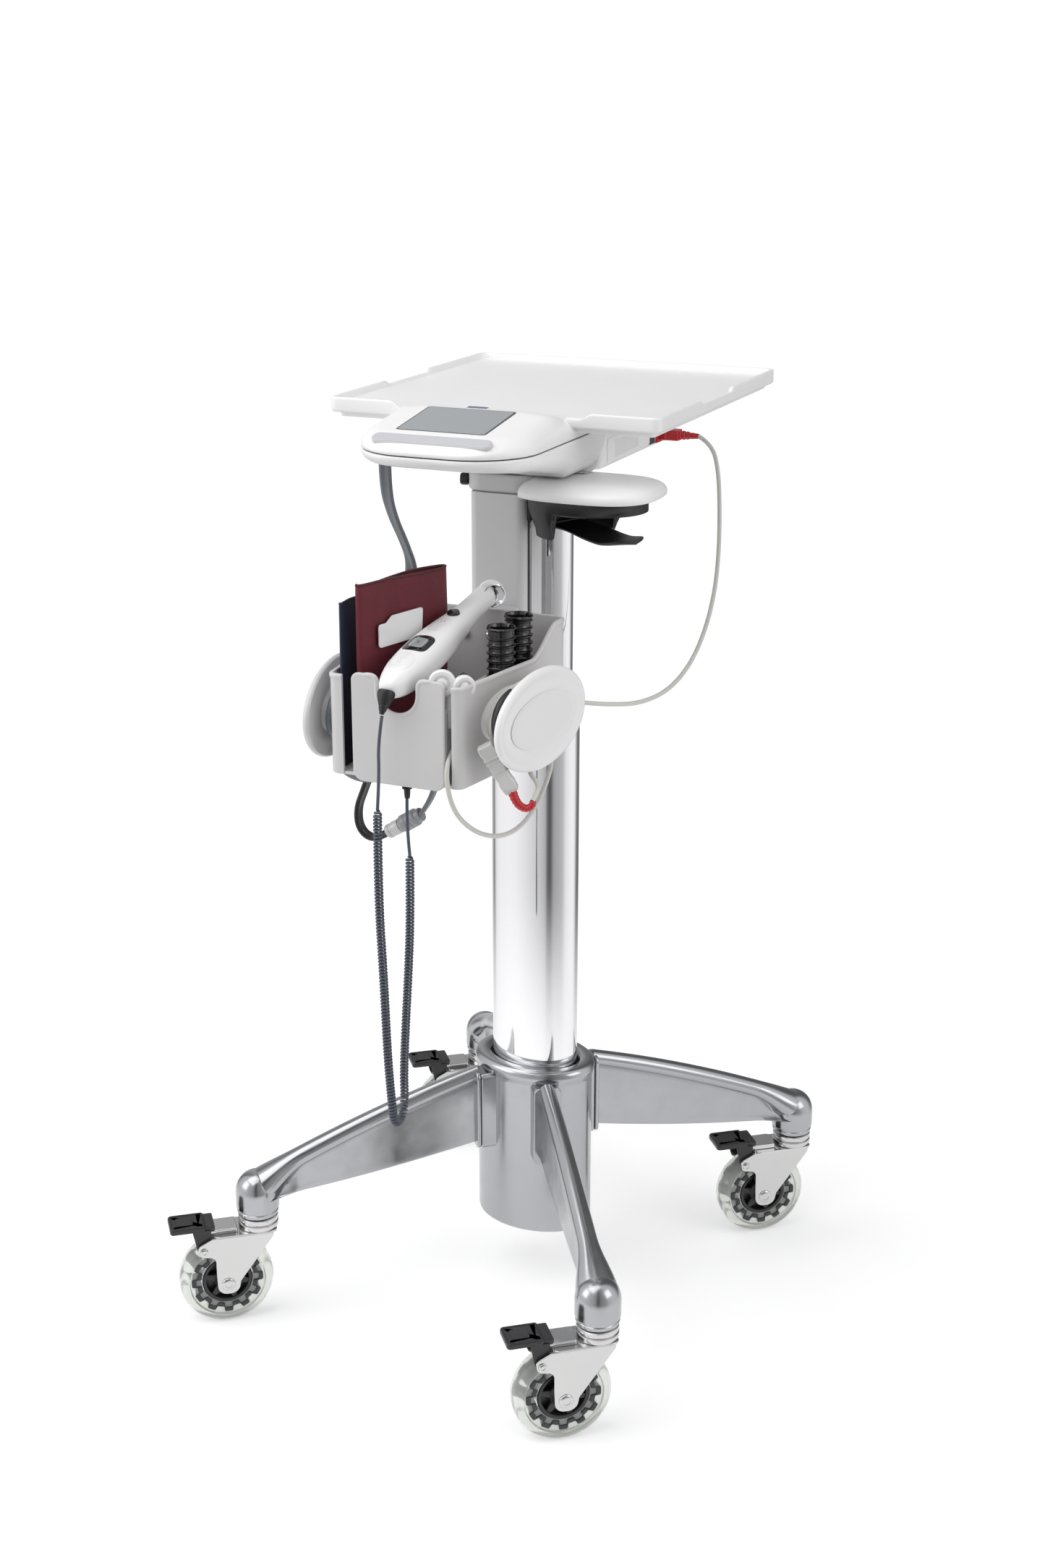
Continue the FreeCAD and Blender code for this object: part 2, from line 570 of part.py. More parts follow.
def on_side(shape, sign):
    """A shape built outwards along +X from the origin, set on a basket side at its disc's centre."""
    ends = (SIDE_FRONT_X, SIDE_BACK_X) if sign > 0 else (POCKET_FRONT_X, POCKET_BACK_X)
    y, z = (DISC_Y, DISC_Z) if sign > 0 else (LEFT_DISC_Y, LEFT_DISC_Z)
    placed = moved(turned(shape, -wall_angle(*ends)), wall_x(*ends, y), y, z)
    return placed if sign > 0 else placed.mirror(V(0, 0, 0), V(1, 0, 0))


def side_oval(ry, rz, x0, x1):
    """An oval bar along +X with half-axes ry along Y and rz along Z."""
    return turned(oval(rz, ry, x0, x1), 90, axis=V(0, 1, 0))


def wrap_disc(sign, spool):
    """Oval disc on a spool that stands out of the basket's side, for winding a cord."""
    face = side_oval(DISC_RY, DISC_RZ, spool, spool + DISC_T)
    face = face.makeFillet(2.5, [e for e in face.Edges if len(e.Vertexes) == 1])
    return on_side(side_oval(SPOOL_RY, SPOOL_RZ, 0, spool).fuse(face), sign)


def winding(sign, spool):
    """The outer shape of the turns of cord on a spool."""
    outer = side_oval(SPOOL_RY + WIND_T, SPOOL_RZ + WIND_T, WIND_X0, spool - WIND_X0)
    inner = side_oval(SPOOL_RY + GAP, SPOOL_RZ + GAP, 0, spool)
    return on_side(outer.cut(inner), sign)


# ---- accessories --------------------------------------------------------------------------------
THERMO_TAIL = V(-5, -327, 757)
THERMO_HEAD = V(12, -142, 808)
THERMO_EXIT = V(-4, -337, 738)


def thermo_axis(share):
    """A point on the thermometer's axis, from its tail to its head."""
    return THERMO_TAIL + (THERMO_HEAD - THERMO_TAIL) * share


def thermometer_body():
    """Handheld thermometer lying in the notch, with its chromed probe and the cord's relief."""
    body = Part.makeCone(10, THERMO_R, 40, THERMO_TAIL, THERMO_HEAD - THERMO_TAIL)
    p, q = thermo_axis(0.205), thermo_axis(0.52)
    body = body.fuse(rod(p, q, THERMO_R))
    body = body.fuse(Part.makeCone(THERMO_R, 12, 62, q, THERMO_HEAD - THERMO_TAIL))
    body = body.fuse(rod(thermo_axis(0.8), thermo_axis(0.98), 9)).fuse(Part.makeSphere(12, THERMO_HEAD))
    root = thermo_axis(0.03)
    body = body.fuse(Part.makeCone(8, 3, (THERMO_EXIT - root).Length, root, THERMO_EXIT - root))
    return body.cut(button_blank(GAP, GAP + BUTTON_TRAVEL))


def button_blank(grow, deeper=0.0):
    """The thermometer's push button, grown by grow and sunk deeper, standing out of the body's top."""
    along = THERMO_HEAD - THERMO_TAIL
    along.normalize()
    out = along.cross(V(0, 0, 1)).cross(along)
    out.normalize()
    start = thermo_axis(0.66) + out * (BUTTON_ROOT - grow - deeper)
    return Part.makeCylinder(BUTTON_R + grow, BUTTON_LEN + 2 * grow + deeper, start, out)


def cuff(p, q, z0, z1, t):
    """A folded cuff standing on edge from p to q in plan."""
    along = V(q[0] - p[0], q[1] - p[1], 0)
    slab = box(0, along.Length, -t / 2, t / 2, z0, z1)
    slab = slab.makeFillet(t / 2.2, upright_edges(slab))
    return moved(turned(slab, math.degrees(math.atan2(along.y, along.x))), p[0], p[1])


def probe_cover_stacks():
    """Two stacks of ribbed probe covers in the right bin."""
    stacks = []
    for x, y, z1 in ((60, -182, 801), (60, -222, 799)):
        stack = Part.makeCylinder(STACK_R, z1 - BIN_Z0 - BIN_T, V(x, y, BIN_Z0 + BIN_T))
        stacks.append(stack)
    return Part.makeCompound(stacks)


# ---- height release grip --------------------------------------------------------------------------
LEVER_PIN = V(GRIP_X - 28 * math.cos(math.radians(LEVER_TURN)),
              GRIP_Y - 28 * math.sin(math.radians(LEVER_TURN)), LEVER_Z)


def grip_frame(shape):
    """A shape built about the lever's pin, pointing along +X, turned and set in the grip."""
    return moved(turned(shape, LEVER_TURN), LEVER_PIN.x, LEVER_PIN.y, LEVER_PIN.z)


def grip_housing():
    """Domed handle under the head's right side, with a neck to the bracket."""
    body = oval(GRIP_RX, GRIP_RY, GRIP_Z0, GRIP_Z0 + 7, GRIP_X, GRIP_Y)
    top = oval(GRIP_RX - 20, GRIP_RY - 18, GRIP_Z0 + 7, GRIP_Z1, GRIP_X, GRIP_Y)
    neck = box(BRACKET_X, GRIP_X - 20, -92, -66, GRIP_Z0, GRIP_Z1 - 5)
    beside = box(-200, BRACKET_X, -200, 200, GRIP_Z0 - 1, GRIP_Z1 + 1)
    return body.fuse(top).fuse(neck).cut(beside).removeSplitter()


def grip_cup():
    """Black cup under the handle, open towards the paddle, with the paddle's pin."""
    rx, ry = GRIP_RX - 14, GRIP_RY - 10
    rim = oval(rx, ry, CUP_RIM_Z, GRIP_Z0, GRIP_X, GRIP_Y)
    bowl = oval(rx - 10, ry - 6, CUP_Z0, CUP_RIM_Z, GRIP_X - 6, GRIP_Y)
    inner = oval(rx - 10 - CUP_WALL, ry - 6 - CUP_WALL, CUP_Z0 - 1, CUP_RIM_Z, GRIP_X - 6, GRIP_Y)
    cut = box(40, 160, -90, 90, CUP_Z0 - LEVER_Z - 2, CUP_RIM_Z - LEVER_Z)
    bowl = bowl.cut(inner).cut(grip_frame(cut))
    span = oval(rx - 8, ry - 4, CUP_Z0 - 1, CUP_RIM_Z, GRIP_X - 6, GRIP_Y)
    pin = grip_frame(rod(V(0, -60, 0), V(0, 60, 0), LEVER_PIN_R)).common(span)
    beside = box(-200, BRACKET_X + GAP, -200, 200, CUP_Z0 - 1, GRIP_Z1 + 1)
    return rim.fuse(bowl).fuse(pin.common(bowl.fuse(inner))).cut(beside).removeSplitter()


def release_lever():
    """Finger paddle that is squeezed up towards the handle, bored for its pin."""
    paddle = in_xz([(-5, -5), (30, -8), (LEVER_REACH, -12), (LEVER_REACH, -8), (30, -2), (-5, 5)],
                   -LEVER_HALF, LEVER_HALF)
    bore = rod(V(0, -60, 0), V(0, 60, 0), LEVER_PIN_R + FIT)
    return grip_frame(paddle.cut(bore))


# ---- cords and what is on them -----------------------------------------------------------------
CORD_R = {"cuff_hose": 6.0, "coupling_hose": 5.5, "cuff_tubes": 6.0, "thermometer_lead": 1.6,
          "thermometer_coil": 4.5, "sensor_cable": 2.2, "sensor_loop": 2.2}
ROUTES = {
    "cuff_hose": [
        [(-76, -180, 933), (-79, -174, 905), (-76, -166, 878), (-69, -157, 853), (-64, -152, 832),
         (-66, -150, 812), (-78, -150, 802), (-91, -154, 799), (-98, -166, 788), (-96, -178, 772),
         (-90, -190, 752), (-88, -198, 738)],
        [(-86, -264, 678), (-84, -270, 666), (-74, -273, 659), (-60, -275, 656), (-46, -274, 657),
         (-42, -274, 662), (-42, -274, 670)]],
    "coupling_hose": [
        [(12, -258, 670), (11, -258, 655), (5, -257, 639), (-2, -256, 627), (-8, -255, 619)]],
    "cuff_tubes": [
        [(-42, -255, 597), (-52, -256, 590), (-63, -257, 590), (-72, -257, 600), (-73, -256, 618),
         (-66, -255, 636), (-60, -254, 653), (-60, -254, 670)]],
    "thermometer_lead": [
        [(-4, -337, 738), (-8, -338, 712), (-8, -337, 682), (-11, -336, 650)],
        [(-2, -291, 592), (-5, -291, 622), (-4, -290, 655)]],
    "thermometer_coil": [
        [(-11, -336, 650), (-13, -335, 570), (-10, -333, 480), (-9, -331, 408), (-7, -330, 368),
         (-6, -329, 350), (-6, -327, 338), (-6, -322, 331), (-7, -314, 328), (-7, -306, 331),
         (-8, -301, 338), (-8, -299, 350), (-9, -298, 368), (-8, -296, 408), (-5, -293, 470),
         (-2, -292, 530), (-2, -291, 592)]],
    "sensor_cable": [
        [(124, 133, 921), (140, 130, 914), (150, 122, 888), (155, 114, 850), (160, 100, 812),
         (165, 76, 776), (168, 40, 744), (168, -5, 719), (163, -55, 705), (150, -100, 703),
         (133, -140, 711), (112, -172, 720), (103, -188, 725)],
        [(118, -284, 659), (121, -277, 667), (115, -267, 671), (103, -258, 676), (98, -250, 688)]],
    "sensor_loop": [
        [(48.3, -296, 708), (48.6, -307, 702), (49, -318, 690), (51, -319, 668), (54, -310, 646),
         (60, -294, 628), (67, -274, 615), (77, -256, 610), (88, -241, 616), (97, -228, 632),
         (103, -216, 653), (106, -207, 676), (99, -208, 693)]],
}


def cord_node(name):
    """Every tube of one cord, as one node."""
    tubes = [cord(name, CORD_R[name], [V(*p) for p in route]) for route in ROUTES[name]]
    return tubes[0] if len(tubes) == 1 else Part.makeCompound(tubes)


def hose_coupling():
    """Two-part connector between the grey hose and the cuff's tubes."""
    p, q = V(*ROUTES["coupling_hose"][0][-1]), V(*ROUTES["cuff_tubes"][0][0])
    middle = p + (q - p) * 0.6
    return rod(p, middle, 8.5).fuse(rod(middle, q, 7.0))


def lead_gland():
    """Ribbed strain relief under the basket's floor."""
    end = V(*ROUTES["thermometer_lead"][1][-1])
    return Part.makeCone(4.5, 7, BIN_Z0 - end.z, end, UP)


def data_plug():
    """Cable plug in the side of the rear casing, with its tapered relief."""
    end = V(*ROUTES["sensor_cable"][0][0])
    body = box(BOX_HALF, BOX_HALF + 24, end.y - 9, end.y + 9, end.z - 5.5, end.z + 5.5)
    return body.fuse(Part.makeCone(5, 2.6, end.x - BOX_HALF - 24, V(BOX_HALF + 24, end.y, end.z), V(1, 0, 0)))


def sensor_clip():
    """Cable connector that hangs from the winding, with its bent boot."""
    top, low = V(79, -303, 712), V(100, -288, 667)
    end = V(*ROUTES["sensor_cable"][1][0])
    boot, _ = cord_path([low, V(103, -287, 658), V(110, -286, 652), V(117, -285, 654), end])
    tube = boot.makePipeShell([Part.Wire(Part.Circle(low, V(103, -287, 658) - low, 4).toShape())], True, False)
    return rod(top, low, 6).fuse(tube)


pieces = {"hub_casting": hub_casting(), "outer_column": outer_column(), "column_bush": column_bush(),
          "gas_spring_cylinder": gas_spring_cylinder()}
for place, corner in LEGS.items():
    pieces["leg_" + place] = leg(corner)
    pieces["fork_" + place] = caster_frame(caster_fork(), corner)
    pieces["tyre_" + place] = caster_frame(wheel_tyre(), corner)
    pieces["wheel_core_" + place] = caster_frame(wheel_core(), corner)
    pieces["brake_pedal_" + place] = caster_frame(brake_pedal(), corner)
pieces.update({
    "inner_column": inner_column(), "column_cap": column_cap(), "gas_spring_rod": gas_spring_rod(),
    "head_bracket": head_bracket(), "spine": spine(), "tray_deck": tray_deck(),
    "screen": screen_blank(0), "light_strip": strip_blank(0),
    "monitor_lower_shell": monitor_lower_shell(), "circuit_board": circuit_board(),
    "module_box": module_box(), "battery_pack": battery_pack(), "basket_bin": basket_bin(),
    "wrap_disc_right": wrap_disc(1, SPOOL_L), "wrap_disc_left": wrap_disc(-1, LEFT_SPOOL_L),
    "thermometer_body": thermometer_body(), "thermometer_button": button_blank(0),
    "cuff_burgundy": cuff((-47, -297), (-15, -180), BIN_Z0 + BIN_T + GAP, 844, CUFF_T),
    "cuff_navy": cuff((-62, -303), (-69, -215), BIN_Z0 + BIN_T + GAP, 828, 9),
    "probe_cover_stacks": probe_cover_stacks(),
    "grip_housing": grip_housing(), "grip_cup": grip_cup(), "release_lever": release_lever(),
})
core = FreeCAD.BoundBox()
for shape in pieces.values():
    core.add(shape.optimalBoundingBox(False, False))
pieces.update({name: cord_node(name) for name in ROUTES})
pieces.update({"hose_winding": winding(-1, LEFT_SPOOL_L), "sensor_winding": winding(1, SPOOL_L),
               "hose_coupling": hose_coupling(), "lead_gland": lead_gland(), "data_plug": data_plug(),
               "sensor_clip": sensor_clip()})
FOOT = V(-(core.XMin + core.XMax) / 2, -(core.YMin + core.YMax) / 2, -core.ZMin)
print("column axis at", FOOT)
for name, shape in pieces.items():
    shape = moved(shape, FOOT.x, FOOT.y, FOOT.z)
    shape.exportStep("parts/%s.step" % name)
    if not shape.isValid() or len(shape.Solids) != 1:
        print(name, "valid", shape.isValid(), "solids", len(shape.Solids))
print(len(pieces), "nodes")
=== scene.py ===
"""Vital-signs monitor on a rolling stand: looks of every piece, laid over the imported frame.

Shapes are laid out in millimetres about the column's axis, +Z up, front towards -Y.
"""

import math

import bmesh
import bpy
import numpy as np
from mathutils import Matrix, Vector


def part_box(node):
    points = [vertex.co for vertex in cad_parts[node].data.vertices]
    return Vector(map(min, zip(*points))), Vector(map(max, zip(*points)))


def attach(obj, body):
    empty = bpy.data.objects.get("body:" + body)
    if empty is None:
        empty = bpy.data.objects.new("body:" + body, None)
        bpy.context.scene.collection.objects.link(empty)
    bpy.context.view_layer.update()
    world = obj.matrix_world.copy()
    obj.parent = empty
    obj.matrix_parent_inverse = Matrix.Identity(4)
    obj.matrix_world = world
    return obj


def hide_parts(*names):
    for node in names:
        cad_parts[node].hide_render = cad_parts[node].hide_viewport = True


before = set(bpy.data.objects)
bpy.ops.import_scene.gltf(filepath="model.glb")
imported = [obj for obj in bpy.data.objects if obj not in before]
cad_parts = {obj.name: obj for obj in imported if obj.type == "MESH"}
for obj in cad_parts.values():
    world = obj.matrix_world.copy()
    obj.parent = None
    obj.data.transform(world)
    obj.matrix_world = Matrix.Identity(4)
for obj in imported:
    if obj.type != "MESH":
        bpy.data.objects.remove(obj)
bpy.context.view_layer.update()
TAU = 2 * math.pi
MM = 0.001
low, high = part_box("outer_column")
AXIS = (np.array(low) + np.array(high)) / 2 * [1, 1, 0]
SCENE = bpy.context.scene


# ---- layout helpers ---------------------------------------------------------------------------
def in_frame(points):
    """Millimetres about the column's axis, as metres in the row frame."""
    return np.asarray(points, float) * MM + AXIS


def unit(v):
    """Vectors scaled to length one."""
    v = np.asarray(v, float)
    return v / np.maximum(np.linalg.norm(v, axis=-1, keepdims=True), 1e-12)


def smooth(t):
    """0 below 0, 1 above 1, and 3t^2 - 2t^3 between."""
    t = np.clip(t, 0, 1)
    return t * t * (3 - 2 * t)


def turn(points, degrees):
    """Points turned about +Z."""
    c, s = math.cos(math.radians(degrees)), math.sin(math.radians(degrees))
    return np.asarray(points, float) @ np.array([[c, s, 0], [-s, c, 0], [0, 0, 1]])


def shift(points, x=0.0, y=0.0, z=0.0):
    """Points moved."""
    return np.asarray(points, float) + [x, y, z]


def swap(points, order):
    """Local axes renamed: order says which local axis becomes X, Y and Z."""
    return np.asarray(points, float)[..., ["xyz".index(c) for c in order]]


def set_on(points, origin, x_way, z_way):
    """Local X and Z laid along two directions, from an origin."""
    x = unit(x_way)
    z = unit(np.asarray(z_way, float) - np.dot(z_way, x) * x)
    p = np.asarray(points, float)
    return np.asarray(origin, float) + p[..., :1] * x + p[..., 1:2] * np.cross(z, x) + p[..., 2:] * z


def signed(v, power):
    """The size of v raised to a power, with the sign of v."""
    return np.sign(v) * np.abs(v) ** power


def eased(fine, at, values, reach):
    """Values between given ones, averaged over reach places to each side."""
    count = 2 * reach + 1
    return np.convolve(np.pad(np.interp(fine, at, values), reach, "edge"), np.ones(count) / count,
                       "valid")


# ---- outlines and shells ----------------------------------------------------------------------
def outline(*corners, open_ends=False, step=11):
    """Line round corners (x, y, radius): at each an arc about a centre on the corner's bisector."""
    spots = np.array([c[:2] for c in corners], float)
    line = []
    last = len(corners) - 1
    for i, (_, _, r) in enumerate(corners):
        here = spots[i]
        if r <= 0 or (open_ends and i in (0, last)):
            line.append(here[None])
            continue
        a, b = unit(spots[i - 1] - here), unit(spots[(i + 1) % len(spots)] - here)
        half = math.acos(float(np.clip(a @ b, -1, 1))) / 2
        centre = here + unit(a + b) * r / math.sin(half)
        p, q = here + a * r / math.tan(half) - centre, here + b * r / math.tan(half) - centre
        sweep = math.pi - 2 * half
        t = np.linspace(0, 1, max(2, int(math.degrees(sweep) / step) + 2))[:, None]
        line.append(centre + (np.sin((1 - t) * sweep) * p + np.sin(t * sweep) * q) / math.sin(sweep))
    return np.concatenate(line)


def quad(x0, y0, x1, y1, r):
    """Rectangle with all corners of one radius."""
    return outline((x0, y0, r), (x1, y0, r), (x1, y1, r), (x0, y1, r))


def inset(line, distance):
    """The outline moved inwards along the sum of its two side normals, mitred."""
    way = unit(np.roll(line, -1, 0) - line)
    left = np.stack([-way[:, 1], way[:, 0]], 1)
    x, y = line.T
    if (x * np.roll(y, -1) - y * np.roll(x, -1)).sum() < 0:
        left = -left
    both = left + np.roll(left, 1, 0)
    return line + both * 2 / np.maximum((both ** 2).sum(1, keepdims=True), 1.0) * distance


def rings_of(line, profile):
    """Stack of rings: the outline inset by each profile row's first number, at its second as height."""
    return np.stack([np.column_stack([inset(line, i), np.full(len(line), float(z))]) for i, z in profile])


def slab(line, z0, z1, edge=1.0, steps=3):
    """Plate of an outline between two heights, its edges rounded to a quarter circle."""
    t = np.linspace(0, math.pi / 2, steps + 1)
    rim = np.column_stack([edge * (1 - np.sin(t)), edge * (1 - np.cos(t))])
    low_rim = [(i, z0 + h) for i, h in rim]
    high_rim = [(i, z1 - h) for i, h in rim[::-1]]
    return rings_of(line, low_rim + high_rim)


def plate_x(line, x0, x1, edge=1.0):
    """Plate square to X: the outline's first numbers run along Y, its second along Z."""
    return swap(slab(line, x0, x1, edge), "zxy")


def plate_y(line, y0, y1, edge=1.0):
    """Plate square to Y: the outline's first numbers run along X, its second along Z."""
    return swap(slab(line, y0, y1, edge), "xzy")


def block(x0, x1, y0, y1, z0, z1, r=2.0, edge=1.0):
    """Block with rounded upright edges and softened faces."""
    return slab(quad(x0, y0, x1, y1, r), z0, z1, edge)


def lathe(profile, count=64):
    """Rings of radius and height from each profile row (r, z), about +Z."""
    t = np.arange(count) * TAU / count
    r, z = np.asarray(profile, float).T[:, :, None]
    return np.stack([r * np.cos(t), r * np.sin(t), z + 0 * t], -1)


def oval_line(a, b, count=96, power=2.0):
    """Superellipse outline, cos and sin raised to 2/power."""
    t = np.arange(count) * TAU / count
    c, s = np.cos(t), np.sin(t)
    return np.column_stack([a * signed(c, 2 / power), b * signed(s, 2 / power)])


def ovals(a, b, profile, count=128, power=2.0):
    """Stack of oval rings, each set out by a profile row's first number, at its second as height."""
    return rings_of(oval_line(a, b, count, power), [(-o, z) for o, z in profile])


def ways(line, side):
    """Direction along a line at each point, and two across it, the first square to side."""
    way = unit(np.gradient(line, axis=0))
    across = unit(np.cross(way, side))
    return way, across, np.cross(way, across)


def sideways(plan):
    """Flat direction square to a plan line at each point."""
    way = unit(np.gradient(plan, axis=0))
    return np.stack([-way[:, 1], way[:, 0]], 1)


def circles(line, radius, across, over, count):
    """A circle of points about each point of a line."""
    t = (np.arange(count) * TAU / count)[None, :, None]
    r = np.broadcast_to(np.asarray(radius, float), (len(line),))[:, None, None]
    return line[:, None] + r * (np.cos(t) * across[:, None] + np.sin(t) * over[:, None])


def tube(path, radius, count=10, side=(1.0, 0.0, 0.0)):
    """Circles round a path."""
    path = np.asarray(path, float)
    return circles(path, radius, *ways(path, side)[1:], count)


def bent(points, count=60):
    """Smooth line through points: Catmull-Rom, cubic between each two."""
    p = np.asarray(points, float)
    p = np.vstack([2 * p[0] - p[1], p, 2 * p[-1] - p[-2]])
    s = np.linspace(0, len(p) - 3 - 1e-9, count)
    i = s.astype(int)
    t = (s - i)[:, None]
    a, b, c, d = p[i], p[i + 1], p[i + 2], p[i + 3]
    bow, twist = 2 * a - 5 * b + 4 * c - d, 3 * b - a - 3 * c + d
    return 0.5 * (2 * b + (c - a) * t + bow * t ** 2 + twist * t ** 3)


def steps_of(line):
    """Distance from each point of a line to the next."""
    return np.linalg.norm(np.diff(line, axis=0), axis=1)


def run_of(line):
    """Distance along a line up to each of its points."""
    return np.concatenate([[0], np.cumsum(steps_of(line))])


def evenly(line, step):
    """The line cut again at even steps along its length."""
    run = run_of(line)
    s = np.linspace(0, run[-1], max(2, int(run[-1] / step) + 1))
    return np.column_stack([np.interp(s, run, line[:, k]) for k in range(line.shape[1])])


def evenly_round(line, step=3.0):
    """A closed outline cut again at even steps."""
    return evenly(np.vstack([line, line[:1]]), step)[:-1]


def mirrored(half):
    """Profile continued by its own mirror image below height zero."""
    return half + [(r, -z) for r, z in half[::-1]]


class Loop:
    """A stack whose last ring joins its first, such as a rim."""

    def __init__(self, stack):
        self.stack = stack


def skin(shells):
    """Points and faces of stacks of rings, neighbours joined by quads and both ends closed."""
    points, faces, first = [], [], 0
    for shell in shells:
        looped = isinstance(shell, Loop)
        stack = shell.stack if looped else shell
        k = first + np.arange(stack.shape[0] * stack.shape[1]).reshape(stack.shape[:2])
        a, b = (k, np.roll(k, -1, 0)) if looped else (k[:-1], k[1:])
        faces += np.stack([a, np.roll(a, -1, 1), np.roll(b, -1, 1), b], -1).reshape(-1, 4).tolist()
        if not looped:
            faces += [k[0, ::-1].tolist(), k[-1].tolist()]
        points.append(stack.reshape(-1, 3))
        first += k.size
    return np.concatenate(points), faces


def add(name, data):
    """New object of some data, in the scene."""
    made = bpy.data.objects.new(name, data)
    SCENE.collection.objects.link(made)
    return made


def piece(name, body, paint, *shells, covers=(), slot=None, sharp=38, lay=None, even=True):
    """One object from closed shells; lay gives each point a place on the cloth for its pattern."""
    points, faces = skin(shells)
    data = bpy.data.meshes.new(name)
    data.from_pydata(in_frame(points).tolist(), [], faces)
    if lay is not None:
        places = data.attributes.new("lay", "FLOAT_VECTOR", "POINT").data
        places.foreach_set("vector", np.asarray(lay, np.float32).ravel())
    work = bmesh.new()
    work.from_mesh(data)
    bmesh.ops.remove_doubles(work, verts=work.verts, dist=2e-6)
    bmesh.ops.recalc_face_normals(work, faces=work.faces)
    work.to_mesh(data)
    work.free()
    data.polygons.foreach_set("use_smooth", np.ones(len(data.polygons), bool))
    data.set_sharp_from_angle(angle=math.radians(sharp))
    data.materials.append(paint)
    made = add(name, data)
    if even:
        made.modifiers.new("even_shading", "WEIGHTED_NORMAL").keep_sharp = True
    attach(made, body)
    if covers:
        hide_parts(*covers)
    return made


# ---- finishes -----------------------------------------------------------------------------------
def new_group(name, outputs, **inputs):
    """Empty node group with named number sockets, and its two end nodes."""
    group = bpy.data.node_groups.new(name, "ShaderNodeTree")
    kind = "NodeSocketFloat"
    for socket, value in inputs.items():
        group.interface.new_socket(socket, in_out="INPUT", socket_type=kind).default_value = value
    for socket in outputs:
        group.interface.new_socket(socket, in_out="OUTPUT", socket_type=kind)
    return group, group.nodes.new("NodeGroupInput"), group.nodes.new("NodeGroupOutput")


def put(node, **values):
    """Values of a node's inputs, an underscore standing for a space."""
    for socket, value in values.items():
        node.inputs[socket.replace("_", " ")].default_value = value


def math_node(group, kind, a, b=None):
    """Math node fed by sockets or numbers."""
    node = group.nodes.new("ShaderNodeMath")
    node.operation = kind
    for i, value in enumerate((a, b)):
        if value is None:
            continue
        if isinstance(value, (int, float)):
            node.inputs[i].default_value = value
        else:
            group.links.new(value, node.inputs[i])
    return node.outputs[0]


def grain_group():
    """Moulded or rolled surface: fine noise as height, broad noise as tone, both on object coordinates."""
    group, start, end = new_group("surface_grain", ("Height", "Tone", "Rough"), Scale=300.0, Stretch=1.0,
                                  Broad=9.0)
    link = group.links.new
    where = group.nodes.new("ShaderNodeTexCoord")
    split = group.nodes.new("ShaderNodeSeparateXYZ")
    join = group.nodes.new("ShaderNodeCombineXYZ")
    link(where.outputs["Object"], split.inputs[0])
    link(split.outputs["X"], join.inputs["X"])
    link(split.outputs["Y"], join.inputs["Y"])
    link(math_node(group, "MULTIPLY", split.outputs["Z"], start.outputs["Stretch"]), join.inputs["Z"])
    fine, broad, smear = (group.nodes.new("ShaderNodeTexNoise") for _ in range(3))
    for node, detail in ((fine, 3.0), (broad, 4.0), (smear, 5.0)):
        put(node, Detail=detail)
        link(join.outputs[0], node.inputs["Vector"])
    link(start.outputs["Scale"], fine.inputs["Scale"])
    link(start.outputs["Broad"], broad.inputs["Scale"])
    link(math_node(group, "MULTIPLY", start.outputs["Broad"], 4.5), smear.inputs["Scale"])
    link(fine.outputs["Fac"], end.inputs["Height"])
    link(broad.outputs["Fac"], end.inputs["Tone"])
    link(smear.outputs["Fac"], end.inputs["Rough"])
    return group


def weave_group():
    """Plain weave: product of two crossed waves on the cloth's own lay, with slubs from noise."""
    group, start, end = new_group("plain_weave", ("Height", "Tone"), Pitch=1600.0)
    link = group.links.new
    lay = group.nodes.new("ShaderNodeAttribute")
    lay.attribute_name = "lay"
    split = group.nodes.new("ShaderNodeSeparateXYZ")
    link(lay.outputs["Vector"], split.inputs[0])
    waves = []
    for axis in ("X", "Y"):
        run = math_node(group, "MULTIPLY", split.outputs[axis], start.outputs["Pitch"])
        waves.append(math_node(group, "SINE", run))
    noise = group.nodes.new("ShaderNodeTexNoise")
    put(noise, Scale=55.0, Detail=4.0)
    link(lay.outputs["Vector"], noise.inputs["Vector"])
    both = math_node(group, "MULTIPLY", waves[0], waves[1])
    link(math_node(group, "ADD", both, math_node(group, "MULTIPLY", noise.outputs["Fac"], 1.4)),
         end.inputs["Height"])
    link(noise.outputs["Fac"], end.inputs["Tone"])
    return group


GRAIN, WEAVE = grain_group(), weave_group()
CLOTH_RELIEF, RELIEF_DEPTH = 0.35, 0.0004


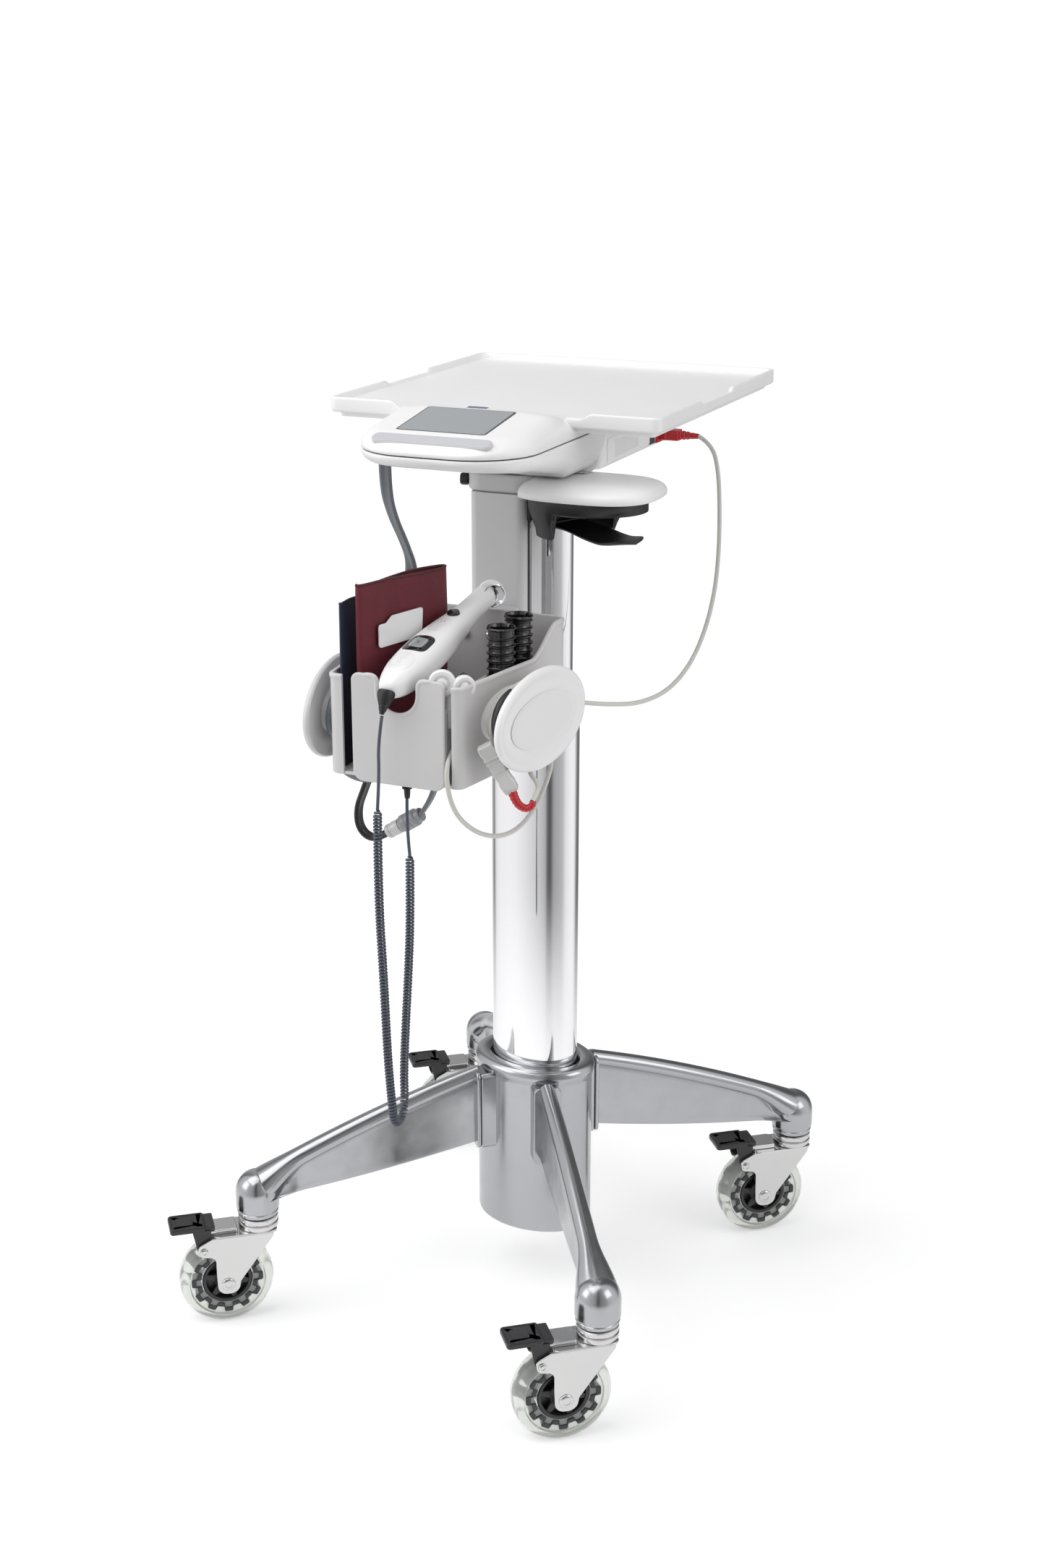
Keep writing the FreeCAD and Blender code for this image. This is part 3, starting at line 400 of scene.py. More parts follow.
def finish(name, slot, colour, rough=0.35, metal=0.0, grain=(350.0, 0.04), stretch=1.0, tone=0.04,
           vary=0.05, cloth=None, **settings):
    """Material with broad noise in the colour, smears in the roughness, relief as height; the slot argument
    is not used.
    """
    paint = bpy.data.materials.new(name)
    paint.use_nodes = True
    tree = paint.node_tree
    link = tree.links.new
    shader = tree.nodes["Principled BSDF"]
    put(shader, Metallic=metal, **settings)
    group = tree.nodes.new("ShaderNodeGroup")
    group.node_tree = WEAVE if cloth else GRAIN
    if cloth:
        put(group, Pitch=cloth)
    else:
        put(group, Scale=grain[0], Stretch=stretch)
    mix = tree.nodes.new("ShaderNodeMix")
    mix.data_type = "RGBA"
    put(mix, A=[c * (1 - tone) for c in colour] + [1], B=[min(1.0, c * (1 + tone)) for c in colour] + [1])
    link(group.outputs["Tone"], mix.inputs["Factor"])
    link(mix.outputs["Result"], shader.inputs["Base Color"])
    if cloth:
        put(shader, Roughness=rough)
    else:
        spread = tree.nodes.new("ShaderNodeMapRange")
        put(spread, From_Min=0.3, From_Max=0.7, To_Min=max(0.02, rough - vary), To_Max=rough + vary)
        link(group.outputs["Rough"], spread.inputs["Value"])
        link(spread.outputs["Result"], shader.inputs["Roughness"])
    bump = tree.nodes.new("ShaderNodeBump")
    put(bump, Strength=CLOTH_RELIEF if cloth else grain[1], Distance=RELIEF_DEPTH)
    link(group.outputs["Height"], bump.inputs["Height"])
    link(bump.outputs["Normal"], shader.inputs["Normal"])
    return paint


WHITE = finish("white_moulding", "white_shell", (0.86, 0.86, 0.855), 0.33, grain=(900, 0.004), tone=0.012,
               vary=0.03)
GREY = finish("warm_grey_moulding", "grey_shell", (0.62, 0.61, 0.61), 0.34, grain=(1100, 0.035),
              tone=0.02)
# Pale grey of the spine; the left cord-wrap disc also wears it as painted shade.
SPINE_AND_DISC_SHADE = finish("pale_grey_and_painted_disc_shade", "grey_shell", (0.66, 0.66, 0.665), 0.38, grain=(1100, 0.035),
               tone=0.02)
FACE = finish("plate_film", "white_shell", (0.83, 0.83, 0.825), 0.22, grain=(500, 0.01), tone=0.01,
              Coat_Weight=0.4)
# Near-black finish used as painted shade: it darkens gaps, slots, vent slits and socket mouths.
SHADOW_GAP_PAINT = finish("shadow_gap", "gloss_black", (0.05, 0.05, 0.055), 0.6, grain=(800, 0.05))
SCREEN = finish("screen_window", "screen_glass", (0.30, 0.325, 0.335), 0.12, grain=(40, 0.004), tone=0.03,
                Coat_Weight=0.6)
BEZEL = finish("screen_edge", "gloss_black", (0.055, 0.055, 0.06), 0.3, grain=(500, 0.02))
STRIP = finish("strip_lens", "strip_lens", (0.53, 0.53, 0.57), 0.2, grain=(300, 0.01), tone=0.03,
               Coat_Weight=0.5)
BADGE = finish("blank_badge", "screen_glass", (0.05, 0.07, 0.16), 0.2, 0.0, grain=(300, 0.02),
               Coat_Weight=0.8)
CHROME = finish("mirror_polish", "column_polish", (0.86, 0.86, 0.875), 0.06, 1.0, grain=(60, 0.008),
                stretch=0.05, tone=0.02, vary=0.03)
CAST = finish("polished_casting", "cast_aluminium", (0.42, 0.425, 0.44), 0.21, 1.0, grain=(220, 0.035),
              tone=0.05, vary=0.06)
ZINC = finish("bright_zinc", "zinc_steel", (0.60, 0.60, 0.595), 0.17, 1.0, grain=(350, 0.03), tone=0.05,
              vary=0.07)
CLEAR = finish("clear_tyre", "clear_tyre", (0.88, 0.91, 0.86), 0.16, grain=(250, 0.03), tone=0.03,
               Transmission_Weight=0.72, IOR=1.35)
RING = finish("tooth_ring", "wheel_black", (0.028, 0.030, 0.034), 0.42, grain=(600, 0.1))
BLACK = finish("black_moulding", "grip_black", (0.018, 0.018, 0.02), 0.36, grain=(900, 0.12))
SOFT_BLACK = finish("soft_black", "grip_black", (0.011, 0.011, 0.013), 0.42, grain=(1200, 0.12))
GLOSS_BLACK = finish("gloss_black", "gloss_black", (0.006, 0.006, 0.007), 0.1, grain=(200, 0.01),
                     Coat_Weight=0.5)
HOSE = finish("grey_hose", "hose_grey", (0.155, 0.17, 0.185), 0.28, grain=(500, 0.04), tone=0.06)
DARK_HOSE = finish("black_hose", "hose_black", (0.012, 0.012, 0.013), 0.3, grain=(500, 0.05))
LEAD = finish("slate_lead", "lead_slate", (0.075, 0.085, 0.11), 0.36, grain=(700, 0.05), tone=0.08)
PALE = finish("pale_lead", "lead_white", (0.62, 0.61, 0.57), 0.34, grain=(600, 0.04), tone=0.03)
RED = finish("red_moulding", "plug_red", (0.50, 0.012, 0.02), 0.3, grain=(700, 0.04), tone=0.05,
             Coat_Weight=0.2)
CLIP = finish("milky_moulding", "coupler_grey", (0.80, 0.80, 0.79), 0.18, grain=(400, 0.02),
              Transmission_Weight=0.35)
FITTING = finish("grey_fitting", "coupler_grey", (0.30, 0.315, 0.33), 0.25, grain=(500, 0.03))
BURGUNDY = finish("burgundy_cloth", "cuff_burgundy", (0.125, 0.006, 0.016), 0.62, cloth=4200.0, tone=0.18,
                  Sheen_Weight=0.06, Sheen_Roughness=0.4)
NAVY = finish("navy_cloth", "cuff_navy", (0.010, 0.014, 0.045), 0.66, cloth=4200.0, tone=0.2,
              Sheen_Weight=0.06, Sheen_Roughness=0.4)
HEM = finish("hem_cloth", "cuff_burgundy", (0.075, 0.006, 0.010), 0.7, cloth=6500.0, tone=0.15,
             Sheen_Weight=0.06)


# ---- base: hub and legs -------------------------------------------------------------------------
BASE_TURN = -7.3
STEM_X, STEM_Y = 206.5, 231.0
STEM_RADIUS = math.hypot(STEM_X, STEM_Y)
LOWER_TUBE, UPPER_TUBE = (48.9, 33.2), (41, 25.5)
LEG_START, CREST_IN, CREST_OUT, BELLY_IN, BELLY_OUT = 66, 257, 170, 170, 139
CORNERS = {"front_right": (1, -1), "front_left": (-1, -1), "rear_right": (1, 1), "rear_left": (-1, 1)}
HEADING = {name: math.degrees(math.atan2(y * STEM_Y, x * STEM_X)) for name, (x, y) in CORNERS.items()}


def hub():
    """Oval hub with a rolled rim, and a pad under each leg's flange."""
    body = ovals(65.6, 48.6, [(-6, 71), (-3, 71.2), (-0.8, 72.4), (0, 75), (0, 246), (0.5, 249),
                              (1.8, 251.4), (2.9, 254), (3.2, 257), (2.6, 260.4), (0.6, 263.4),
                              (-2.8, 265), (-8, 265.3), (-11.8, 264.4), (-14, 262), (-14.8, 258.5),
                              (-15.2, 254), (-15.2, 84), (-15.2, 71)])
    plate = ovals(49.6, 32.6, [(-3, 71.6), (0, 71.6), (0, 83), (-3, 83)])
    pads = [turn(plate_x(quad(-14.5, 163, 14.5, 251, 5), 44, 64.7, 1.6), HEADING[name])
            for name in CORNERS]
    shells = [turn(shell, BASE_TURN) for shell in [plate] + pads]
    piece("hub", "base", CAST, Loop(turn(body, BASE_TURN)), *shells, covers=("hub_casting",))
    # The collar ring where the column enters the hub is painted shade, near black.
    collar = ovals(*LOWER_TUBE, [(0.2, 250), (1.6, 250), (1.8, 256.5), (1.2, 257.6), (0.2, 258)])
    piece("column_collar", "base", SHADOW_GAP_PAINT, Loop(turn(collar, BASE_TURN)), slot="bush_nylon")


def leg_shells():
    """One leg along +X: web with a rolled crest. Each section runs up one side of the web, round the
    crest's circle and down the other side; crest, web and roll widen smoothly into the boss."""
    share = np.linspace(0, 1, 60)[:, None]
    r = LEG_START + (STEM_RADIUS - LEG_START) * share
    sag = 4 * share * (1 - share)
    crest = CREST_IN + (CREST_OUT - CREST_IN) * share + 6 * sag
    belly = BELLY_IN + (BELLY_OUT - BELLY_IN) * share - 4 * sag
    swell = smooth((share - 0.78) / 0.22) ** 1.3
    roll = 8.6 + 2.6 * share + 10.5 * swell
    web = 6.6 + 1.2 * share + 13.0 * swell
    middle = crest - roll
    neck = middle - 0.95 * roll
    arc = np.radians(np.linspace(-48, 90, 13))[None, :]
    foot = belly + np.array([[0.0, 0.15, 0.9, 2.6]])
    foot_y = (web + 1.6) * np.array([[0.0, 0.62, 0.93, 1.0]])
    rise = np.array([[0.12, 0.4, 0.7, 0.95]])
    wall_z = foot[:, 3:] + (neck - foot[:, 3:]) * rise
    wall_y = web + 1.2 * (1 - rise) ** 2 + 0 * share
    y = np.concatenate([foot_y + 0 * share, wall_y, roll * np.cos(arc)], 1)
    z = np.concatenate([foot + 0 * share, wall_z, middle + roll * np.sin(arc)], 1)
    y = np.concatenate([y, -y[:, -2:0:-1]], 1)
    z = np.concatenate([z, z[:, -2:0:-1]], 1)
    arm = np.stack([r + 0 * y, y, z], -1)
    flange = plate_x(outline((-15, 164, 5), (15, 164, 5), (15, 253, 7), (-15, 253, 7)), 65.2, 69.5, 1.4)
    a = np.radians(np.linspace(0, 90, 14))
    dome = np.column_stack([23 * np.cos(a) ** 0.92, 146.5 + 23.5 * np.sin(a)])
    foot_ring = [(0, 122), (19.5, 122), (21.4, 122.5), (22, 124), (22, 126.2), (21.2, 127), (21.2, 127.8),
                 (22.4, 128.6), (23, 130.5)]
    boss = shift(lathe(foot_ring + dome.tolist()), STEM_RADIUS)
    return arm, flange, boss


def legs():
    """Four legs at the hub's headings."""
    for name in CORNERS:
        shells = [turn(shell, BASE_TURN + HEADING[name]) for shell in leg_shells()]
        piece("arm_" + name, "base", CAST, *shells, covers=("leg_" + name,))


# ---- casters, each about its stem and trailing towards +X ---------------------------------------
TRAIL_ANGLE, TRAIL, WHEEL_R = 218.0, 37.0, 50.0
TEETH, CROWN, ROOT = 12, 38.0, 32.6


def at_stem(shell, name):
    """A caster shell moved under its leg."""
    x, y = CORNERS[name]
    stem = turn([x * STEM_X, y * STEM_Y, 0], BASE_TURN)
    return turn(shell, TRAIL_ANGLE) + stem


def about_axle(shell):
    """A shell built about +Z, laid on the wheel's axle."""
    return shift(swap(shell, "xzy"), TRAIL, 0, WHEEL_R)


def toothed(offset, count=360):
    """Ring outline whose radius steps between root and crown with rounded flanks."""
    t = np.arange(count) * TAU / count
    share = np.abs((t * TEETH / TAU) % 1 - 0.5) * 2
    r = ROOT + (CROWN - ROOT) * smooth((share - 0.42) / 0.16) + offset
    return r, t


def tooth_band():
    """Band of even width that follows the teeth, its faces chamfered."""
    rows = []
    for inner, half in ((0, 10.4), (0, 11.4), (0.6, 11.9), (4.0, 11.9), (4.6, 11.4), (4.6, 10.4)):
        r, t = toothed(-inner)
        rows.append([(r, t, half)])
    rings = [np.column_stack([r * np.cos(t), r * np.sin(t), np.full(len(t), s * half)]) for s,
             order in ((1, rows), (-1, rows[::-1])) for (r, t, half), in order]
    return about_axle(np.stack(rings))


def wheel_shells():
    """Tyre and hub of one wheel."""
    a = np.radians(np.linspace(0, 90, 9))
    shoulder = np.column_stack([40.5 + 9.5 * np.sin(a), 13.9 - 9.0 * (1 - np.cos(a))])
    half = [(26.4, 9.0), (26.8, 10.0), (38.6, 10.4), (39.6, 11.0),
            (40.0, 13.2)] + shoulder.tolist() + [(50.0, 2.0)]
    tyre = Loop(about_axle(lathe(mirrored(half), 96)))
    rim_half = [(22.3, 8.0), (22.8, 10.4), (24.2, 11.0), (25.8, 10.8), (26.3, 9.6)]
    rim = Loop(about_axle(lathe(mirrored(rim_half), 72)))
    boss_half = [(0, 15.6), (7, 15.6), (9.4, 15.4), (10.4, 14.4), (11.6, 11.4), (13.6, 9.6), (14.2, 8.4)]
    boss = about_axle(lathe(mirrored(boss_half), 48))
    web = about_axle(lathe([(12, 2.2), (23.5, 2.2), (23.5, -2.2), (12, -2.2)], 60))
    spokes = []
    for k in range(6):
        spoke = slab(outline((12, -4.4, 0.8), (23.5, -2.6, 0.8), (23.5, 2.6, 0.8), (12, 4.4, 0.8)), -9.4,
                     9.4, 0.9)
        spokes.append(about_axle(turn(spoke, 60 * k + 12)))
    return tyre, [rim, boss, Loop(web)] + spokes


def fork_shells():
    """Top plate, race, two cheeks, axle bolt and pedal rivet."""
    plate = slab(outline((-18, -20, 9), (49, -20, 6), (49, 20, 6), (-18, 20, 9)), 104, 107, 0.8)
    race = lathe([(0, 105), (20.2, 106.9), (21.2, 107.6), (21.5, 110), (21.2, 112.2), (19.6, 113),
                  (19.2, 113.6), (19.8, 114.2), (21.0, 114.8), (21.4, 117), (21.0, 119.4), (19.6, 120.6),
                  (16, 121), (0, 121)])
    cheek = outline((-16, 105.8, 3), (TRAIL - 13.5, 52, 0.01), (TRAIL - 11, 38.2, 10.2),
                    (TRAIL + 11, 38.2, 10.2), (TRAIL + 12, 62, 0.01), (49, 83, 7), (66, 85.5, 6.4),
                    (67.5, 98, 6.4), (52, 105.8, 4))
    shells = [plate, race]
    for side in (-1, 1):
        face = plate_y(cheek, 17.0, 20.2, 0.7)
        shells.append(face * [1, side, 1])
        for x, z, r in ((TRAIL, WHEEL_R, 7.4), (61.0, 92.0, 4.3)):
            head = lathe([(0, 19), (r, 20.2), (r, 20.9), (r * 0.9, 21.9), (r * 0.62, 22.5),
                          (r * 0.5, 22.5), (r * 0.46, 21.6), (0, 21.4)], 40)
            shells.append(shift(swap(head, "xzy"), x, 0, z) * [1, side, 1])
    axle = lathe([(5.9, -19), (5.9, 19)], 32)
    tongue = slab(outline((24, -13, 2), (56, -13, 3), (56, 13, 3), (24, 13, 2)), 107, 112.2, 1.2)
    return shells + [shift(swap(axle, "xzy"), TRAIL, 0, WHEEL_R), tongue]


def pedal_shells():
    """Foot pad with a raised border, and an ear at each side down to the pivot."""
    pad_line = outline((57.5, -16.4, 3), (95, -16.4, 4), (95, 16.4, 4), (57.5, 16.4, 3))
    pad = rings_of(pad_line, [(1.5, 113.6), (0.4, 114), (0, 115), (0, 118.6), (0.4, 119.6), (1.3, 120.2),
                              (2.4, 120.2), (3.0, 119.5), (8, 119.5)])
    panel = block(70, 88, -8, 8, 119, 120.1, 2, 0.5)
    root = block(48, 62, -15, 15, 113, 118.8, 2, 1.2)
    shells = [pad, panel, root]
    ear = outline((54.6, 92, 5.5), (61, 85.8, 5.8), (67.4, 92, 5.5), (72, 115, 2), (52, 115, 2))
    for side in (-1, 1):
        shells.append(plate_y(ear, 14.6, 16.4, 0.5) * [1, side, 1])
    return shells


def casters():
    """Fork, wheel and brake pedal under each leg."""
    for name in CORNERS:
        forks = [at_stem(shell, name) for shell in fork_shells()]
        piece("yoke_" + name, "caster_" + name, ZINC, *forks, covers=("fork_" + name,))
        tyre, core = wheel_shells()
        tyre = Loop(at_stem(tyre.stack, name))
        core = [Loop(at_stem(s.stack, name)) if isinstance(s, Loop) else at_stem(s, name) for s in core]
        body = "wheel_" + name
        piece("tread_" + name, body, CLEAR, tyre, covers=("tyre_" + name,), even=False)
        piece("wheel_hub_" + name, body, BLACK, *core, covers=("wheel_core_" + name,), slot="wheel_black")
        piece("tooth_ring_" + name, body, RING, Loop(at_stem(tooth_band(), name)))
        pads = [at_stem(shell, name) for shell in pedal_shells()]
        piece("pedal_pad_" + name, "pedal_" + name, BLACK, *pads, covers=("brake_pedal_" + name,),
              slot="pedal_black")


# ---- column and spine ---------------------------------------------------------------------------
def columns():
    """Two nested oval tubes and the cap's rim."""
    outer = ovals(*LOWER_TUBE, [(-4, 84), (0, 84), (0, 656.6), (-0.4, 657.6), (-1.2, 658), (-4, 658)],
                  160)
    piece("column_lower", "base", CHROME, Loop(turn(outer, BASE_TURN)), covers=("outer_column",))
    lip = ovals(*LOWER_TUBE, [(-7.6, 657.8), (-0.4, 657.8), (0.0, 658.4), (0.0, 660.4), (-0.5, 661),
                              (-7.6, 661)], 160)
    piece("guide_lip", "base", BLACK, Loop(turn(lip, BASE_TURN)), covers=("column_bush",),
          slot="bush_nylon")
    inner = ovals(*UPPER_TUBE, [(-3, 339), (0, 339), (0, 887), (-1, 888), (-3, 888)], 160)
    piece("column_upper", "lift", CHROME, turn(inner, BASE_TURN), covers=("inner_column",))
    cap = ovals(*UPPER_TUBE, [(-2, 888.05), (0, 888.3), (0.6, 889), (0.6, 893), (0, 893.8), (-3, 894)],
                96)
    post = lathe([(14.9, 893), (14.9, 909.5)], 48)
    piece("column_lid", "lift", CAST, turn(cap, BASE_TURN), turn(post, BASE_TURN), covers=("column_cap",))


def spine():
    """Hanging channel in front of the column: rounded front corners, open back, cord slot at the right."""
    wall = outline((-29, -54, 0), (-29, -98, 9), (29, -98, 9), (29, -54, 0), (26, -54, 0), (26, -95, 6),
                   (-26, -95, 6), (-26, -54, 0))
    top = outline((-28, -54.5, 1), (-28, -97, 8), (28, -97, 8), (28, -54.5, 1))
    piece("spine_channel", "head", SPINE_AND_DISC_SHADE, slab(wall, 698, 893.6, 0.5), slab(top, 890, 893.8, 0.5),
          covers=("spine",))
    # The cord slot is painted shade: a near-black block stands in its recess.
    piece("spine_slot", "head", SHADOW_GAP_PAINT, block(28.2, 30.2, -88.5, -81.5, 700, 889, 0.8, 0.4),
          slot="grip_black")
    piece("spine_trim", "head", ZINC, block(30.0, 30.9, -86.6, -83.4, 704, 866, 0.4, 0.3))
    stop = outline((28.4, -90, 1), (33, -90, 1.5), (33, -80, 1.5), (28.4, -80, 1))
    piece("slot_stop", "head", BLACK, slab(stop, 868, 888, 1.0))


def bracket():
    """Rounded block that turns on the post, with a knob at its front left."""
    body = block(-36, 36, -97, 45, 894.1, 911.9, 20, 3.0)
    piece("head_mount", "head", GREY, body, covers=("head_bracket",))
    knob = lathe([(0, 0), (5.6, 0), (6.0, 0.8), (6.0, 6.0), (5.0, 7.6), (0, 8)], 32)
    piece("tilt_knob", "head", BLACK, set_on(knob, (-35, -84, 903), (0, 0, 1), (-1, -0.25, 0)))


# ---- head: tray, monitor and rear casing --------------------------------------------------------
TRAY_HALF, TRAY_FRONT, TRAY_BACK = 170.0, -114.0, 246.0
RIM_Z = 978.0
HEAD_HALF, HEAD_FRONT, HEAD_BACK, HEAD_CORNER = 86.0, -255.0, -30.0, 62.0
INSET_END, RUN_IN = 34.0, 52.0


def tray():
    """Shallow tray: rings step from the underside round the rim to the floor. The rim's height drops
    smoothly to the floor along the middle of the front edge, and part way in the side notches."""
    line = outline((-TRAY_HALF, TRAY_FRONT, 8), (TRAY_HALF, TRAY_FRONT, 8), (TRAY_HALF, TRAY_BACK, 12),
                   (-TRAY_HALF, TRAY_BACK, 12))
    line = evenly_round(line)
    profile = [(40, 0, 963.6), (6, 0, 963.2), (2.4, 0, 963.4), (0.7, 0, 964.4), (0, 0, 966),
               (0, 0.45, 967), (0, 0.8, 967), (0.35, 0.93, 967), (1.2, 1, 967), (3.6, 1, 967),
               (4.6, 0.93, 967), (5.4, 0.72, 967), (6.2, 0.3, 970), (7.4, 0.05, 971.6), (9.5, 0, 972),
               (30, 0, 972), (100, 0, 972)]
    rings = []
    for ins, share, base in profile:
        x, y = inset(line, min(ins, 7.0)).T
        pull = max(0.0, ins - 7.0)
        x, y = x * (1 - pull / 175), (y - 66) * (1 - pull / 185) + 66
        notch = 4.0 * smooth((y - 2) / 9) * smooth((104 - y) / 9) * (np.abs(x) > 100)
        front = 6.4 * smooth((-100 - y) / 8) * smooth((104 - np.abs(x)) / 14)
        top = RIM_Z - notch - front
        rings.append(np.column_stack([x, y, base + (np.maximum(top, base) - base) * share]))
    piece("tray_top_moulding", "head", WHITE, np.stack(rings))
    ribs = [block(x - 1.2, x + 1.2, TRAY_FRONT + 9, TRAY_BACK - 9, 958.5, 964.5, 1.0, 0.6)
            for x in (-150, -120, 120, 150)]
    skirt = outline((-162, -107, 6), (162, -107, 6), (162, 238, 8), (-162, 238, 8))
    rim = Loop(rings_of(skirt, [(0, 964.5), (0, 959.4), (0.5, 958.8), (1.6, 958.8), (2.2, 959.4),
                                (2.2, 964.5)]))
    piece("tray_ribs", "head", WHITE, *ribs, rim)


def head_grid():
    """The head's outline cut again at even steps; head_shell carries it inwards to its middle line, insets
    first, then straight shares.
    """
    line = outline((-HEAD_HALF, HEAD_FRONT, HEAD_CORNER), (HEAD_HALF, HEAD_FRONT, HEAD_CORNER),
                   (HEAD_HALF, HEAD_BACK, 4), (-HEAD_HALF, HEAD_BACK, 4))
    return evenly_round(line)


def crown_height(x, y):
    """Top of the head: up from the front lip over light strip and screen, then down into the tray."""
    ys = np.array([-260, -252, -246, -240, -232, -225, -219, -185, -151, -142, -134, -125, -114, -104,
                   -96, -90, 0])
    zs = np.array([957.5, 960.2, 962.6, 965.2, 968.5, 970.2, 971.0, 975.9, 980.7, 980.9, 980.0, 977.6,
                   974.0, 972.4, 972.1, 971.2, 971.2])
    fine = np.linspace(-260, 0, 521)
    heights = eased(fine, ys, zs, 6)
    side = smooth((np.abs(x) - 44) / 46)
    return np.interp(y, fine, heights) - 3.4 * side * smooth((-104 - y) / 20)


def head_shell(top):
    """Upper or lower half of the head. Height at a point inset d from the outline is the half's own
    height blended to the seam by a quarter ellipse over the shoulder's width."""
    line = head_grid()
    rings = []
    shoulder = 17.0 if top else 20.0
    deep = [0, 0.5, 1.4, 2.8, 4.6, 7, 10, 13.5, 17, 21, 27, 34]
    for d in deep + [INSET_END + RUN_IN * k / 12 for k in range(1, 13)]:
        flat = inset(line, min(d, INSET_END))
        share = max(0.0, d - INSET_END) / RUN_IN
        x = flat[:, 0] * (1 - share)
        y = flat[:, 1] + (np.clip(flat[:, 1], HEAD_FRONT + 86, HEAD_BACK - 40) - flat[:, 1]) * share
        fall = math.sqrt(max(0.0, 1 - (1 - min(d / shoulder, 1.0)) ** 2))
        if top:
            edge = 956.6
            z = edge + (crown_height(x, y) - edge) * fall
        else:
            edge = 950.6
            low_z = np.interp(y, [-260, -236, -170, -112, -97, 0],
                              [943.5, 939.5, 932.5, 920.0, 913.5, 912.3])
            z = edge + (low_z - edge) * fall
        rings.append(np.column_stack([x, y, z]))
    seam = 953.4 if top else 952.2
    wall = [np.column_stack([inset(line, 8.0), np.full(len(line), seam)]),
            np.column_stack([inset(line, 0.9), np.full(len(line), seam)]),
            np.column_stack([inset(line, 0.15), np.full(len(line), seam + (0.5 if top else -0.4))])]
    return np.stack(wall + rings)


def tilted(line, z0, z1, edge, centre, degrees):
    """A plate tipped about X, lying on the head's sloping top."""
    a = math.radians(degrees)
    return set_on(slab(line, z0, z1, edge), centre, (1, 0, 0), (0, -math.sin(a), math.cos(a)))


def head():
    """Monitor: two half shells with a shadow gap; screen, light strip and a blank badge lie on top."""
    piece("monitor_top", "head", WHITE, head_shell(True), covers=("tray_deck",), sharp=60, even=False)
    piece("monitor_tub", "head", WHITE, head_shell(False), covers=("monitor_lower_shell",), sharp=60,
          even=False)
    gap = rings_of(head_grid(), [(9, 951.5), (1.7, 951.5), (1.7, 954.2), (9, 954.2)])
    piece("monitor_gap", "head", SHADOW_GAP_PAINT, Loop(gap))
    screen_at, lamp_at = (0, -185, 975.9), (0, -238, 966.3)
    badge_at = (2, -142.5, float(crown_height(2.0, -142.5)) + 0.75)
    for name, paint, x, y, r, heights, spot, tip, covers in (
            ("screen_rim", BEZEL, 44.6, 36.1, 3.4, (-2.5, 0.25, 0.2), screen_at, 8.4, ()),
            ("screen_pane", SCREEN, 43, 34.5, 2.5, (-2.0, 0.55, 0.25), screen_at, 8.4, ("screen",)),
            ("lamp_groove", GREY, 58.8, 7.0, 6.8, (-3, 0.1, 0.2), lamp_at, 24, ()),
            ("lamp_lens", STRIP, 58, 6.2, 6, (-2.5, 0.75, 0.6), lamp_at, 24, ("light_strip",)),
            ("badge_plate", FACE, 11, 3.6, 1, (-0.6, 0.35, 0.2), badge_at, 8, ()),
            ("badge_field", BADGE, 10, 2.7, 0.6, (-0.2, 0.5, 0.1), badge_at, 8, ())):
        piece(name, "head", paint, tilted(quad(-x, -y, x, y, r), *heights, spot, tip), covers=covers)


def casing():
    """Rear casing: tub with rounded lower edges, side panels, vents behind and sockets at the right."""
    line = quad(-80, -29, 80, 172, 12)
    tub = rings_of(line, [(14, 908.2), (9, 908.4), (5, 909.2), (2.2, 911), (0.6, 913.6), (0, 917),
                          (0, 961), (1, 963)])
    piece("casing_tub", "head", WHITE, tub, covers=("module_box", "circuit_board", "battery_pack"))
    lower = outline((-13, 914, 3), (131, 915, 4), (131, 938, 4), (-13, 938, 4))
    for side in (-1, 1):
        shape = plate_x(lower, 79.0, 81.4, 1.0) * [side, 1, 1]
        piece("side_panel_right" if side > 0 else "side_panel_left", "head", WHITE, shape)
    label = outline((4, 917, 2), (70, 918, 2), (70, 934, 2), (4, 934, 2))
    piece("blank_label", "head", FACE, plate_x(label, 81.0, 81.8, 0.3))
    socket = quad(121, 913, 146, 930, 1.5)
    piece("lead_socket", "head", RED, plate_x(socket, 79.5, 83.5, 0.8))
    # The spare socket's mouth is painted shade: a near-black plate where the casing has no hole.
    mouth = quad(104, 914, 118, 929, 1.5)
    piece("spare_socket", "head", SHADOW_GAP_PAINT, plate_x(mouth, 79.5, 82.2, 0.4))
    # The vent slits are painted shade: near-black plates on the casing's back, with no openings cut.
    vents = [plate_y(quad(x, 922, x + 3, 950, 1.2), 171.6, 172.6, 0.2) for x in range(-60, 62, 8)]
    piece("vent_slots", "head", SHADOW_GAP_PAINT, *vents)
    feet = [shift(lathe([(0, 0), (6.4, 0), (7, 0.6), (7, 1.6), (0, 1.8)], 32), x, y, 906.8)
            for x in (-62, 62) for y in (60, 150)]
    piece("casing_plugs", "head", BLACK, *feet)


# ---- basket -------------------------------------------------------------------------------------
BIN_Z0, BIN_FRONT, BIN_BACK = 670.0, -314.0, -138.0
FRONT_X = {1: 62.0, -1: 70.0}
BACK_X = {1: 92.0, -1: 86.0}


